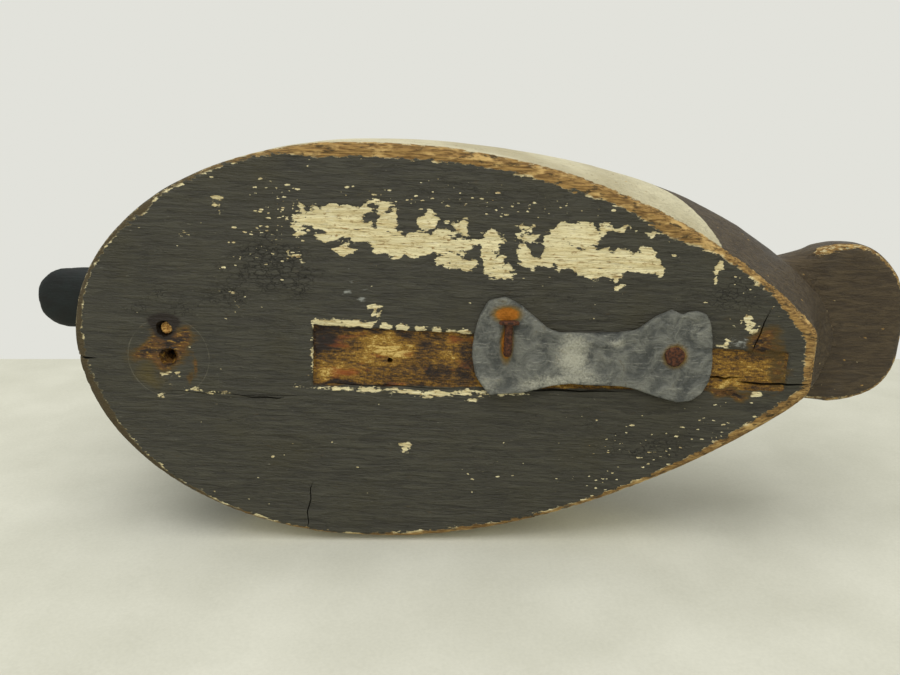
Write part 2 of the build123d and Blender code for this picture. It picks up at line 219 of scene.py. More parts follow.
shape = bmesh.new()
bmesh.ops.create_grid(shape, x_segments=1, y_segments=1, size=1)
table_axes = Matrix((table_side, table_back, table_up)).transposed().to_4x4()
table_depth = (TABLE_FAR_EDGE + TABLE_NEAR_EDGE) / 2
table_middle = (
    contact
    + table_back * (TABLE_FAR_EDGE - table_depth - ruler(contact).z) * MM
)
table_size = Matrix.Diagonal((TABLE_HALF_WIDTH * MM, table_depth * MM, 1, 1))
bmesh.ops.transform(
    shape,
    matrix=Matrix.Translation(table_middle) @ table_axes @ table_size,
    verts=shape.verts,
)
table_mesh = bpy.data.meshes.new("table")
shape.to_mesh(table_mesh)
shape.free()
table = bpy.data.objects.new("table", table_mesh)
bpy.context.scene.collection.objects.link(table)
table.visible_shadow = False

felt, tree, mm = start_material("pale grey felt")
nap = add(tree, "TexNoise", {"Vector": mm, "Scale": 0.7, "Detail": 4.0})
mottle = add(tree, "TexNoise", {"Vector": mm, "Scale": 0.02, "Detail": 3.0})
blend = add(tree, "Math", {0: nap, 1: 0.5, 2: mottle}, operation="MULTIPLY_ADD")
shade = add(tree, "MapRange", {"Value": blend, "From Min": 0.45, "From Max": 1.05})
felt_colour = add(
    tree,
    "Mix",
    {"Factor": shade, "A": linear("#BFBEB0"), "B": linear("#D0CFC2")},
    data_type="RGBA",
)
felt_shader = add(tree, "BsdfDiffuse", {"Color": felt_colour})
clear = add(tree, "BsdfTransparent")
below = add(tree, "NewGeometry", out="Backfacing")
either = add(tree, "MixShader", {0: below, 1: felt_shader, 2: clear})
tree.links.new(either, tree.nodes.new("ShaderNodeOutputMaterial").inputs["Surface"])
table.data.materials.append(felt)
print("table touches the flank at", [round(c) for c in ruler(contact)], "mm")

# %% Light
scene = bpy.context.scene
scene.view_settings.view_transform = "Standard"
world = bpy.data.worlds.new("pale room")
scene.world = world
world.use_nodes = True
world.node_tree.nodes["Background"].inputs["Color"].default_value = linear("#E6E6DF")
world.node_tree.nodes["Background"].inputs["Strength"].default_value = 0.96


def soft_light(name, direction, distance, size, watts):
    """A square lamp that shines on the decoy from that direction."""
    data = bpy.data.lights.new(name, "AREA")
    data.shape = "SQUARE"
    data.size = size
    data.energy = watts
    lamp = bpy.data.objects.new(name, data)
    scene.collection.objects.link(lamp)
    lamp.location = at(0, 0) + direction.normalized() * distance
    lamp.rotation_mode = "QUATERNION"
    lamp.rotation_quaternion = (-direction).to_track_quat("-Z", "Y")
    return lamp


toward_camera = camera_axes.col[2]
image_right = camera_axes.col[0]
soft_light("window", table_up * 1.0 + toward_camera * 0.25 - image_right * 0.2, 1.1, 1.2, 8)
soft_light("room behind the camera", toward_camera + table_up * 0.5, 1.5, 1.4, 5)
soft_light("room above the duck", Vector((0.1, 0.7, 1.0)), 1.3, 1.2, 7)

# %% [markdown]
# ## The body: first a skin that can be sculpted
#
# The body and tail are one block of white cedar, carved by hand. The CAD solid has long flat
# facets and knife-sharp edges, so its mesh can't carry grain or dents. We could sculpt by hand,
# but a script needs something repeatable: a voxel remesh gives the whole block an even skin of
# small squares, and smoothing takes the facets away. The bottom is seen closest, so its faces are
# split once more.
#
# The pockets in the bottom are filled before the remesh, because a voxel skin would blur them.
# They are cut again afterwards, crisp.

# %% Helpers for pieces
def shape_of(node):
    """A bmesh copy of a CAD node, its loose triangles merged."""
    copy = bmesh.new()
    copy.from_mesh(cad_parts[node].data)
    bmesh.ops.remove_doubles(copy, verts=copy.verts, dist=0.001 * MM)
    return copy


def piece_from(shape, name):
    """A named object from a bmesh, which is freed."""
    mesh = bpy.data.meshes.new(name)
    shape.to_mesh(mesh)
    shape.free()
    piece = bpy.data.objects.new(name, mesh)
    scene.collection.objects.link(piece)
    return piece


def apply_modifier(piece, kind, **settings):
    """Adds one modifier and bakes it into the mesh at once."""
    modifier = piece.modifiers.new(kind.lower(), kind)
    for name, value in settings.items():
        setattr(modifier, name, value)
    graph = bpy.context.evaluated_depsgraph_get()
    baked = bpy.data.meshes.new_from_object(piece.evaluated_get(graph))
    piece.modifiers.clear()
    piece.data = baked


def reopen(piece):
    """A bmesh of a piece's present mesh, to go on shaping it."""
    shape = bmesh.new()
    shape.from_mesh(piece.data)
    return shape


def relax(shape, verts, passes):
    """Rubs the surface smooth."""
    for _ in range(passes):
        bmesh.ops.smooth_vert(
            shape, verts=verts, factor=0.5, use_axis_x=True, use_axis_y=True, use_axis_z=True
        )


# %% Body skin
BODY_VOXEL = 1.8
body_shape = shape_of("body")
rim_points = []
for edge in body_shape.edges:
    ends = [ruler(v.co) for v in edge.verts]
    on_bottom = all(abs(p.z) < 0.01 for p in ends)
    walls = [f for f in edge.link_faces if f.normal.z > -0.9]
    in_pocket = all(-127 < p.x < 147 and -12 < p.y < 22 for p in ends)
    if on_bottom and len(walls) == 1 and not in_pocket:
        steps = max(1, int((ends[1] - ends[0]).length))
        rim_points += [ends[0].lerp(ends[1], i / steps) for i in range(steps + 1)]
rim_tree = KDTree(len(rim_points))
for i, point in enumerate(rim_points):
    rim_tree.insert((point.x, point.y, 0), i)
rim_tree.balance()

for low, high in (((-126, -10, 0), (-109, 14, 30)), ((-57, -10, 0), (146, 20, 6))):
    middle = (at(*low) + at(*high)) / 2
    size = at(*high) - at(*low)
    bmesh.ops.create_cube(
        body_shape, size=1, matrix=Matrix.Translation(middle) @ Matrix.Diagonal((*size, 1))
    )
body = piece_from(body_shape, "carved_body")
apply_modifier(body, "REMESH", mode="VOXEL", voxel_size=BODY_VOXEL * MM)
shape = reopen(body)
upper = [v for v in shape.verts if ruler(v.co).z > 2.5]
TAIL_ROOT = (128, 168)
places = {v: ruler(v.co) for v in upper}
relax(shape, [v for v in upper if places[v].x < TAIL_ROOT[0]], 24)
relax(shape, [v for v in upper if TAIL_ROOT[0] < places[v].x < TAIL_ROOT[1] and places[v].z > 5], 45)
relax(shape, upper, 6)
relax(shape, shape.verts, 2)
flat = [v for v in shape.verts if ruler(v.co).z < 0.8]
for v in flat:
    if v.normal.z < -0.95:
        v.co.z = bottom.z
flat_set = set(flat)
flat_faces = [f for f in shape.faces if all(v in flat_set for v in f.verts)]
flat_edges = list({e for f in flat_faces for e in f.edges})
bmesh.ops.subdivide_edges(shape, edges=flat_edges, cuts=1, use_grid_fill=True)
shape.to_mesh(body.data)
shape.free()
print("body skin:", len(body.data.vertices), "points,", len(rim_points), "rim points")

# %% [markdown]
# ## The marks on the bottom
#
# Each mark is a short list of ellipses, in millimetres. A signed distance says how far a
# point is from the edge of the nearest ellipse, under zero inside it. Distances are better than
# painted masks: they blend smoothly between mesh points, so the material can cut its own
# ragged edge into them, finer than the mesh.

# %% Where the paint has flaked down to the old ivory coat
IVORY_FLAKES = [
    (-47, -52, 10.6, 6.5), (-40, -56, 7.5, 3.0), (-54, -55, 5.0, 2.6), (-39, -48, 9.0, 3.6),
    (-62, -49, 3.6, 1.6), (-60.5, -55.0, 2.0, 2.4), (-58, -52, 4.0, 1.5), (-53, -45, 3.7, 1.9), (-43, -41, 4.9, 2.1), (-33, -47.5, 4.9, 3.7),
    (-25, -52, 4.5, 4.1), (-27, -58, 3.2, 2.0), (-30, -59, 2.8, 0.6), (-23.5, -43.4, 9.0, 5.0),
    (-8, -44, 17.2, 4.9), (-9, -53, 4.5, 3.7), (-9, -55.4, 2.0, 1.6), (4, -51, 4.5, 3.7),
    (3, -37, 8.2, 2.9), (7, -34, 3.7, 2.1), (9, -45, 3.3, 1.6), (12, -45, 2.9, 1.2),
    (17, -46.6, 4.9, 3.7), (14, -49, 2.0, 1.2), (16.5, -37.5, 1.8, 5.8), (20.6, -37.7, 2.5, 4.2),
    (20, -33, 3.7, 2.1), (24, -34.5, 2.1, 2.3), (30, -52, 3.7, 1.2), (28, -49, 1.6, 1.4),
    (33, -48, 3.5, 1.6), (30.7, -42.3, 1.6, 3.7), (33.4, -37.4, 3.1, 2.3), (37, -38, 2.5, 1.3),
    (45, -51, 5.7, 3.3), (43.6, -46, 4.9, 3.3), (54, -50, 7.3, 4.5), (54, -53, 5.7, 2.0),
    (52, -41, 13.9, 5.0), (62, -39.4, 15.6, 5.4), (75, -40, 11.5, 4.1), (64.5, -35.3, 10.7, 3.3),
    (82, -43, 3.3, 3.3), (86, -38, 4.1, 3.3), (71, -44, 4.1, 1.4), (40, -38.5, 2.5, 3.0),
    (69, -53, 5.7, 1.0), (62, -53, 1.6, 1.2), (83.5, -52, 2.0, 0.9), (76, -52, 1.2, 0.6),
    (-30, -16.3, 2.9, 1.5), (-30.5, -13.3, 1.0, 2.6), (-27.6, -13.8, 0.7, 2.4),
    (-119, 16.6, 2.4, 1.3), (-113.2, 16.0, 1.3, 1.1), (-104, 23.3, 8, 0.4), (-121.5, 26.3, 2.2, 0.7),
    (-95, -58.4, 2.0, 1.3), (-94, -54, 1.4, 1.1), (-109, -43.6, 2.5, 0.6), (-64, -36, 2.9, 0.5),
    (-16, 43, 1.6, 1.2), (-15, 46, 0.9, 1.5), (111, -39, 1.4, 3.7), (110, -33, 0.9, 1.0),
    (-90, -20, 0.7, 0.5), (-87, -14, 1.2, 0.5), (-61, -58, 0.8, 0.8), (-63, -50, 1.2, 4.1),
    (-66, -53, 1.1, 0.8), (-61, -46, 1.6, 0.7), (126, -17, 1.7, 3.2), (121, -16, 0.9, 0.6),
    (129, -12, 1.6, 1.0), (117, -9, 1.9, 0.6), (38, -29, 0.9, 0.5), (71, -29.5, 1.0, 0.6),
]
STRAP_EDGE_FLAKES = [
    (-45, -9.2, 11.0, 1.5), (-54, -7.4, 2.6, 2.4), (-33, -8.6, 2.8, 1.9), (-25.5, -8.2, 2.2, 1.8),
    (-18, -8.0, 2.6, 1.8), (-11, -7.7, 2.6, 1.7), (-4, -7.6, 2.2, 1.9), (2, -7.2, 2.0, 1.5),
    (8, -7.0, 2.6, 1.4), (-55.5, 3, 0.7, 8.0), (-31, 19.4, 24.0, 0.75), (-8, 19.9, 12.0, 1.0), (4, 19.6, 10.0, 0.8),
    (-6, 21.6, 2.6, 0.6), (13, 22.0, 2.4, 0.5), (22, 18.4, 12.0, 0.7), (121, 14.6, 3.0, 0.9),
    (117, -5.6, 2.6, 1.2), (133, 14.4, 2.2, 1.1),
]


def ellipse_distance(x, y, ellipse):
    """Signed distance in mm from a point to an ellipse's edge, close enough for worn paint."""
    cx, cy, rx, ry = ellipse
    dx, dy = x - cx, y - cy
    near = math.hypot(dx / rx, dy / ry)
    slope = math.hypot(dx / rx**2, dy / ry**2)
    return near * (near - 1) / slope if slope > 1e-6 else -min(rx, ry)


FAR_AWAY = 12.0


def nearest_mark(x, y, marks):
    """Signed distance to the nearest of several ellipses, at most FAR_AWAY."""
    found = FAR_AWAY
    for mark in marks:
        if abs(x - mark[0]) < mark[2] + FAR_AWAY and abs(y - mark[1]) < mark[3] + FAR_AWAY:
            found = min(found, ellipse_distance(x, y, mark))
    return found


# %% The bed of the lost keel strap
BED_FRONT, BED_REAR = -55.8, 144.5
BED_DEPTH = 1.2


def bed_distance(x, y):
    """Signed distance in mm to the edge of the long tapered bed, under zero inside it."""
    share = (x - BED_FRONT) / (BED_REAR - BED_FRONT)
    left, right = -7.9 + 3.9 * share, 18.4 - 5.4 * share
    return max(BED_FRONT - x, x - BED_REAR, left - y, y - right)


# %% How wide the rim is worn
RIM_WEAR_LEFT = [
    (-156, 3.0), (-148, 1.8), (-135, 1.8), (-125, 3.2), (-118, 1.6), (-90, 1.4), (-72, 2.0),
    (-60, 5.0), (-40, 6.2), (-15, 6.0), (10, 5.2), (30, 5.0), (48, 5.5), (70, 4.5), (88, 6.5),
    (100, 4.0), (114, 1.8), (136, 2.0), (146, 4.5), (156, 5.0),
]
RIM_WEAR_RIGHT = [
    (-156, 3.0), (-145, 4.2), (-130, 2.6), (-110, 1.8), (-70, 1.6), (-45, 1.2), (-20, 2.2),
    (0, 2.6), (40, 1.8), (80, 2.2), (105, 2.6), (118, 3.4), (140, 4.2), (156, 4.5),
]


def rim_wear(x, y):
    """Width in mm of the band along the rim that is worn to bare wood."""
    marks = RIM_WEAR_LEFT if y < 0 else RIM_WEAR_RIGHT
    for (x0, w0), (x1, w1) in zip(marks, marks[1:]):
        if x <= x1:
            return w0 + (w1 - w0) * max(0, x - x0) / (x1 - x0)
    return marks[-1][1]


# %% [markdown]
# ## Grain, wear and checks in the wood
#
# Old cedar weathers unevenly: the soft early wood shrinks back and the hard late wood stands as
# fine ridges along the grain. We raise them with noise that is stretched along the body. The
# rim is rounded off where it is worn, and the strap's bed lies a little lower than the rest.

# %% Shape the bottom
def grain_height(x, y):
    """Height in mm of the raised grain at a point of the bottom."""
    drift = 2.2 * noise.noise((x * 0.013, y * 0.02, 7.0))
    ridges = noise.noise((x * 0.028, (y + drift) * 0.40, 1.5))
    threads = noise.noise((x * 0.07, (y + drift) * 0.95, 4.5))
    swell = noise.noise((x * 0.012, y * 0.022, 9.0))
    return 0.20 * ridges + 0.10 * threads + 0.35 * swell


def warp(x, y, size, reach, seed):
    """A point pushed about by noise, so that marks get uneven outlines."""
    push = noise.noise_vector((x / size, y / size, seed))
    return x + push.x * reach, y + push.y * reach


shape = reopen(body)
for v in shape.verts:
    x, y, z = ruler(v.co)
    if z > 2.5:
        push = 0.16 * noise.noise((x * 0.03, y * 0.22, z * 0.22))
        push += 0.30 * noise.noise((x * 0.03, y * 0.05, z * 0.05))
        v.co += v.normal * push * MM
        continue
    _, _, inward = rim_tree.find((x, y, 0))
    wx, wy = warp(x, y, 5.0, 1.6, 2.0)
    worn = max(0.0, 1 - inward / max(1.5, rim_wear(x, y)))
    lift = 0.8 * worn * worn * (1 + 0.6 * noise.noise((x * 0.15, y * 0.15, 5.0)))
    raised = grain_height(x, y)
    in_bed = bed_distance(x, y + 0.5 * noise.noise((x * 0.2, y * 0.2, 3.0)))
    sunk = BED_DEPTH * min(1.0, max(0.0, 0.5 - in_bed / 0.9))
    flaked = min(1.0, max(0.0, 0.5 - nearest_mark(wx, wy, IVORY_FLAKES) / 1.2))
    if v.normal.z < -0.5:
        v.co.z += (lift + sunk + 0.22 * flaked + raised * (1 - 0.5 * flaked)) * MM
shape.to_mesh(body.data)
shape.free()

# %% [markdown]
# Drying checks are narrow splits along the grain. A mesh with points nearly a millimetre apart
# can't show them, so we cut them with thin blades and a Boolean, which gives true edges and
# true shadows. The two holes of the anchor line are cut in the same pass.

# %% Cut the checks and the line holes
def blade(shape, path, width, depth):
    """A thin wedge along a path on the bottom, widest in its middle and sharp at its ends."""
    points = [Vector((x, y, 0)) for x, y in path]
    one_side, other_side = [], []
    for i, point in enumerate(points[1:-1], 1):
        along = (points[i + 1] - points[i - 1]).normalized()
        across = Vector((-along.y, along.x, 0))
        half = width / 2 * math.sin(math.pi * i / (len(points) - 1)) ** 0.5
        one_side.append(point + across * half)
        other_side.append(point - across * half * 0.8)
    outline = [points[0]] + one_side + [points[-1]] + other_side[::-1]
    face = shape.faces.new([shape.verts.new(at(p.x, p.y, -2.0)) for p in outline])
    grown = bmesh.ops.extrude_face_region(shape, geom=[face])
    for v in [g for g in grown["geom"] if isinstance(g, bmesh.types.BMVert)]:
        v.co.z += (2.0 + depth) * MM


def turned(shape, profile, place, steps=24):
    """A round shape from a profile of (radius, height) points in mm, spun round its axis."""
    verts = [shape.verts.new(place + Vector((r, 0, h)) * MM) for r, h in profile]
    edges = [shape.edges.new(pair) for pair in zip(verts, verts[1:])]
    made = bmesh.ops.spin(
        shape, geom=verts + edges, cent=place, axis=(0, 0, 1), angle=math.tau, steps=steps,
        use_merge=True,
    )
    return made


CHECKS = [
    ([(-119, 23.6), (-112, 23.2), (-103, 23.9), (-94, 23.5), (-86, 24.2), (-78, 23.7), (-66, 23.5),
      (-56, 23.0)], 0.45, 5),
    ([(-86, 24.6), (-82, 24.9), (-76, 24.6), (-71, 24.9), (-68, 24.5)], 0.8, 5),
    ([(-54, 17.9), (-46, 17.5), (-34, 17.8), (-20, 17.3), (-6, 17.7), (12, 17.2)], 0.45, 4),
    ([(30, 16.6), (38, 16.9), (47, 16.2), (58, 16.4), (68, 15.8), (80, 16.0)], 0.9, 4),
    ([(108, 7.6), (112.5, 8.2), (116, 8.0), (119, 8.7), (122, 7.9), (127.5, 7.7)], 1.3, 8),
    ([(123, 9.6), (128, 9.9), (135, 10.4), (142, 10.1), (149, 9.7), (158, 9.2)], 1.2, 10),
    ([(-58.6, 87), (-57.6, 82), (-58.2, 77), (-56.6, 71), (-56.9, 66), (-55.2, 61.5)], 0.6, 3),
    ([(135, -23), (132.6, -17), (131.6, -12), (129.8, -7), (129, -2.5)], 0.8, 4),
    ([(-160, 9.8), (-156, 10.0), (-152, 10.3), (-147, 10.1)], 1.3, 5),
]
cutter_shape = bmesh.new()
for path, width, depth in CHECKS:
    blade(cutter_shape, path, width, depth)
TIE_HOLES = ((-118.5, -3.7, 3.4, 2.45), (-117, 8.3, 3.9, 2.1))
for x, y, mouth, bore in TIE_HOLES:
    profile = [(0, -2), (mouth + 0.6, -2), (mouth, 0.4), (bore + 0.6, 2), (bore, 4), (bore, 24), (0, 24)]
    turned(cutter_shape, profile, at(x, y))
turned(cutter_shape, [(0, -2), (1.3, -2), (1.2, 1.2), (0.9, 8), (0, 9)], at(-23.3, 6.4), 12)
bmesh.ops.remove_doubles(cutter_shape, verts=cutter_shape.verts, dist=0.01 * MM)
bmesh.ops.recalc_face_normals(cutter_shape, faces=cutter_shape.faces)
for v in cutter_shape.verts:
    x, y, z = ruler(v.co)
    if x < -100 and 0 < z < 5:
        v.co += noise.noise_vector((x * 0.6, y * 0.6, z * 0.6)) * 0.7 * MM
cutter = piece_from(cutter_shape, "cutter")
apply_modifier(body, "BOOLEAN", operation="DIFFERENCE", solver="EXACT", object=cutter)
bpy.data.objects.remove(cutter)
print("body after cutting:", len(body.data.vertices), "points")

# %% [markdown]
# ## What the body's paint needs to know
#
# The material decides between charcoal bottom paint, the old ivory coat, bare wood, rust and the
# colours of the upper side. It reads these signed distances and strengths from the mesh:
#
# - under: 1 on the bottom, 0 above it
# - worn, flake, bed, cream, breast: distance in mm to the edge of that area
# - rust and tone: how rusty the wood is, and how dark or light; tone also paints shade on the strap's bed under its
#   upper wall and at its front end
# - edge: how far the surface stands out from a smoothed copy of itself, which finds the
#   corners that hands and boats have rubbed

# %% Stains, painted shade in the strap's bed, scuffs and crackle on the bottom
RUST_STAINS = [
    (-118.5, 1.5, 5.5, 6.0, 1.0), (-127, 7.5, 6.0, 3.2, 0.9), (-109.5, 1.0, 3.4, 4.6, 0.85),
    (-117, 8.3, 5.6, 5.0, 0.95), (-106.8, 13.0, 1.1, 4.0, 0.75), (-109.2, 18.0, 1.0, 3.0, 0.6),
    (25, -13, 6, 5, 0.3), (132, -7, 6, 4, 0.8), (136, -12, 5, 4, 0.45), (124, 15.5, 9, 2.4, 0.75),
    (118, 14, 6, 2, 0.6), (141, 3, 4, 10, 0.5),
]
OLIVE_STAINS = [(-127, 15, 6.0, 5.5, 1.0), (-122, 19, 4.0, 4.0, 0.6), (-135, 9, 3.0, 4.0, 0.5)]
# tones of the stained wood; the dark bands along the bed's upper edge and across its front end are painted shade of
# the bed's walls, the one along its lower edge follows a crack
STAIN_TONES_AND_BED_SHADE = [
    (-50, -2.5, 9, 4.5, -1.1), (-48, 12.0, 8, 3.0, 0.75), (-24, 2.0, 11, 4.0, 1.1),
    (-37, 5, 7, 6, 0.15), (-30, -4.5, 12, 2.5, 0.35), (-7, 0, 5, 5, -0.5), (-5, 12, 14, 4, -0.6),
    (2, 3.0, 6, 4, 0.35), (9, 4, 4, 9, -0.7), (-14, 13, 6, 2, 0.2), (-53, 4, 2, 10, -0.4),
    (-40, -7.2, 16, 1.2, -1.0), (-35, 17.4, 22, 0.9, -1.2), (-18, -7.0, 6, 1.4, -0.6),
    (116, 2, 5, 4, 0.4), (121, 11, 6, 2.4, 0.9), (134, -4, 6, 4, -0.8), (128, 4, 5, 3, 0.5),
    (139, 5, 5, 5, 0.4), (112, 5, 3, 3, -0.3), (45, 14.5, 14, 1.2, 0.6), (130, 13, 8, 2, -0.2),
]
SOOT = [(-118.5, -7.4, 6.5, 2.4, 1.7), (-118.5, -3.7, 4.8, 4.6, 1.7), (134, 10, 14, 2.4, 0.3)]
SCUFFS = [
    (-42, -22.5, 3.0, 1.2, 1.0), (-36, -19.5, 3.6, 1.6, 0.9), (-40, -27, 2.4, 1.0, 0.8),
    (-33, -24, 5.0, 2.2, 0.5), (-41.5, -32.0, 2.0, 1.0, 0.5), (124, -7.6, 8.0, 2.4, 0.9),
    (-108, 25.6, 2.0, 0.7, 0.5), (-95, -19, 2.0, 1.6, 0.5), (-16, 45, 5, 9, 0.35),
]
CRACKLE = [
    (-74, -34, 17, 13, 1.0), (-62, -26, 8, 6, 0.6), (118, -27, 14, 8, 0.8), (92, 40, 24, 9, 0.7),
    (-118, -15, 18, 8, 0.55), (-92, -19, 12, 7, 0.5), (60, 30, 20, 8, 0.3), (133, -8, 8, 8, 0.6),
    (-128, -36, 14, 10, 0.35), (20, -66, 60, 7, 0.45), (48, -23, 14, 5, 0.5), (-20, 32, 50, 10, 0.2),
]
CROWDS = [
    (-72, -52, 8, 9, 0.62), (-63, -61, 10, 4, 0.40), (-20, -63, 26, 4.5, 0.42), (10, -62, 18, 5, 0.45),
    (44, -61, 14, 5, 0.34), (-80, -38, 10, 10, 0.26), (-89, -19, 7, 5, 0.16), (92, 40, 24, 6, 0.34),
    (112, 30, 12, 6, 0.34), (-66, -38, 6, 3, 0.36), (62, 56, 30, 5, 0.22), (88, -44, 10, 6, 0.10),
    (-30, -34, 16, 3, 0.10), (60, -30, 30, 3, 0.08), (125, -28, 8, 8, 0.2),
]


def spots(x, y, marks):
    """Soft round spots added together, each an ellipse with a strength."""
    total = 0.0
    for cx, cy, rx, ry, strength in marks:
        far = ((x - cx) / rx) ** 2 + ((y - cy) / ry) ** 2
        if far < 9:
            total += strength * math.exp(-far)
    return total


# %% Colour areas of the upper side
CREAM_TOP = 43
CREAM_FRONT = -93
BREAST_LINE = -84


def cream_distance(x, z):
    """Distance in mm inside the cream flank panel, under zero outside it."""
    rear = 113 - 0.15 * z - 0.020 * z * z
    top = CREAM_TOP - 0.0016 * (x - 8) ** 2
    gaps = (top - z, (x - CREAM_FRONT - 0.006 * (z - 14) ** 2) * 0.9, (rear - x) * 0.8)
    softness = 5.0
    return -softness * math.log(sum(math.exp(min(20.0, -gap / softness)) for gap in gaps))


TAIL_RUBS = [(176, -40, 9, 6, 0.55), (160, 27, 9, 5, 0.7)]

# %% Measure the body
shape = reopen(body)
smooth_copy = shape.copy()
relax(smooth_copy, smooth_copy.verts, 14)
smooth_copy.verts.ensure_lookup_table()
shape.normal_update()
FIELDS = (
    "under", "worn", "flake", "bed", "cream", "breast", "rust", "olive", "tone", "soot", "scuff",
    "crackle", "crowd", "edge",
)
fields = {name: [] for name in FIELDS}
for v in shape.verts:
    x, y, z = ruler(v.co)
    _, _, inward = rim_tree.find((x, y, 0))
    is_under = z < 3.2 and v.normal.z < -0.6 or (z < 30 and inward > 6 and z < 9)
    standing = (v.co - smooth_copy.verts[v.index].co).dot(v.normal) / MM
    fields["under"].append(1.0 if is_under else 0.0)
    fields["cream"].append(cream_distance(x, z))
    wave = 5 * noise.noise((x * 0.03, y * 0.03, z * 0.03))
    fields["breast"].append(BREAST_LINE + 0.012 * (z - 42) * abs(z - 42) - x + wave)
    if not is_under:
        for name in ("rust", "olive", "tone", "soot", "scuff", "crackle"):
            fields[name].append(0.0)
        fields["crowd"].append(0.16 * max(0.0, noise.noise((x * 0.02, y * 0.03, z * 0.03)) + 0.05))
        fields["worn"].append(z - 1.8)
        fields["flake"].append(FAR_AWAY)
        fields["bed"].append(FAR_AWAY)
        fields["edge"].append(standing + 0.4 * spots(x, y, TAIL_RUBS))
        continue
    wx, wy = warp(x, y, 5.0, 2.6, 2.0)
    wx, wy = warp(wx, wy, 1.8, 1.1, 6.0)
    sx, sy = warp(x, y, 7.0, 3.4, 8.0)
    strap_flake = nearest_mark(sx * 0.2 + x * 0.8, y, STRAP_EDGE_FLAKES)
    fields["worn"].append(inward - rim_wear(x, y))
    fields["flake"].append(min(nearest_mark(wx, wy, IVORY_FLAKES), strap_flake))
    fields["bed"].append(bed_distance(x, y + 0.5 * noise.noise((x * 0.2, y * 0.2, 3.0))))
    fields["rust"].append(spots(sx, sy, RUST_STAINS))
    fields["olive"].append(spots(sx, sy, OLIVE_STAINS))
    fields["tone"].append(spots(sx, sy, STAIN_TONES_AND_BED_SHADE))
    fields["soot"].append(spots(x, y, SOOT))
    fields["scuff"].append(spots(x, y, SCUFFS))
    fields["crackle"].append(spots(sx, sy, CRACKLE))
    fields["crowd"].append(spots(sx, sy, CROWDS))
    fields["edge"].append(standing)
smooth_copy.free()
shape.free()
for name, values in fields.items():
    layer = body.data.attributes.new(name, "FLOAT", "POINT")
    layer.data.foreach_set("value", values)
    print(name, "runs from", round(min(values), 2), "to", round(max(values), 2))
body.data.shade_smooth()
body.data.set_sharp_from_angle(angle=math.radians(50))

# %% [markdown]
# ## Old oil paint on cedar
#
# Real oil paint on an old decoy is a stack: cedar, then an ivory first coat, then the charcoal
# of the last repaint. Each coat is lost where the one under it shows, so the material is built in
# the same order. The edges of the losses are cut by noise along the grain. The paint film is
# about 0.2 mm thick, and the bump lets the loss sink by that much.

# %% Grain patterns
body_paint, tree, mm = start_material("old oil paint on white cedar")
field = {name: add(tree, "Attribute", out="Fac", attribute_name=name) for name in fields}
along = add(tree, "Mapping", {"Vector": mm, "Scale": (0.10, 1, 1)})
stubby = add(tree, "Mapping", {"Vector": mm, "Scale": (0.4, 1, 1)})
# ridges of late wood about 2 mm apart, and fibres a third of that
ridge_noise = {"Vector": along, "Scale": 0.55, "Detail": 6.0, "Roughness": 0.60, "Distortion": 0.8}
ridge = add(tree, "TexNoise", ridge_noise)
thread = add(tree, "TexNoise", {"Vector": along, "Scale": 1.5, "Detail": 4.0, "Roughness": 0.65})
# lobes of lifted paint about 2 mm across, with chips and grit on them
lobe = add(tree, "TexNoise", {"Vector": stubby, "Scale": 0.42, "Detail": 6.0, "Roughness": 0.66})
chip = add(tree, "TexNoise", {"Vector": stubby, "Scale": 0.95, "Detail": 5.0, "Roughness": 0.66})
patch = add(tree, "TexNoise", {"Vector": stubby, "Scale": 0.22, "Detail": 6.0, "Roughness": 0.6})
cloud = add(tree, "TexNoise", {"Vector": mm, "Scale": 0.035, "Detail": 4.0})
grit = add(tree, "TexNoise", {"Vector": mm, "Scale": 1.6, "Detail": 4.0, "Roughness": 0.7})

# %% Cracks and creases in the charcoal coat
brushed = {"Vector": along, "Scale": 0.30, "Detail": 4.0, "Roughness": 0.55, "Distortion": 0.9}
crease_wave = add(tree, "TexNoise", brushed)
off_crease = add(tree, "Math", {0: crease_wave, 1: 0.5}, operation="SUBTRACT")
off_crease = add(tree, "Math", {0: off_crease}, operation="ABSOLUTE")
off_crease = add(tree, "Math", {0: patch, 1: -0.05, 2: off_crease}, operation="MULTIPLY_ADD")
crease = add(tree, "MapRange", {"Value": off_crease, "From Min": 0.0, "From Max": -0.022})
skin_place = add(tree, "VectorMath", {0: mm, 1: (0.26, 0.55, 0.5)}, operation="MULTIPLY")
shove = add(tree, "TexNoise", {"Vector": mm, "Scale": 0.5, "Detail": 3.0}, out="Color")
skin_place = add(tree, "VectorMath", {0: shove, 1: (1.4,) * 3, 2: skin_place}, operation="MULTIPLY_ADD")
plate_edge = add(tree, "TexVoronoi", {"Vector": skin_place, "Scale": 1.0}, feature="DISTANCE_TO_EDGE")
crack = add(tree, "MapRange", {"Value": plate_edge, "From Min": 0.09, "From Max": 0.0})
crack_share = add(tree, "Math", {0: patch, 1: 1.6, 2: field["crackle"]}, operation="MULTIPLY_ADD")
crack_share = add(tree, "MapRange", {"Value": crack_share, "From Min": 0.95, "From Max": 1.5})
crack = add(tree, "Math", {0: crack, 1: crack_share}, operation="MULTIPLY")
faint_crease = add(tree, "Math", {0: crease, 1: 0.5}, operation="MULTIPLY")
fissure = add(tree, "Math", {0: crack, 1: faint_crease}, operation="MAXIMUM")

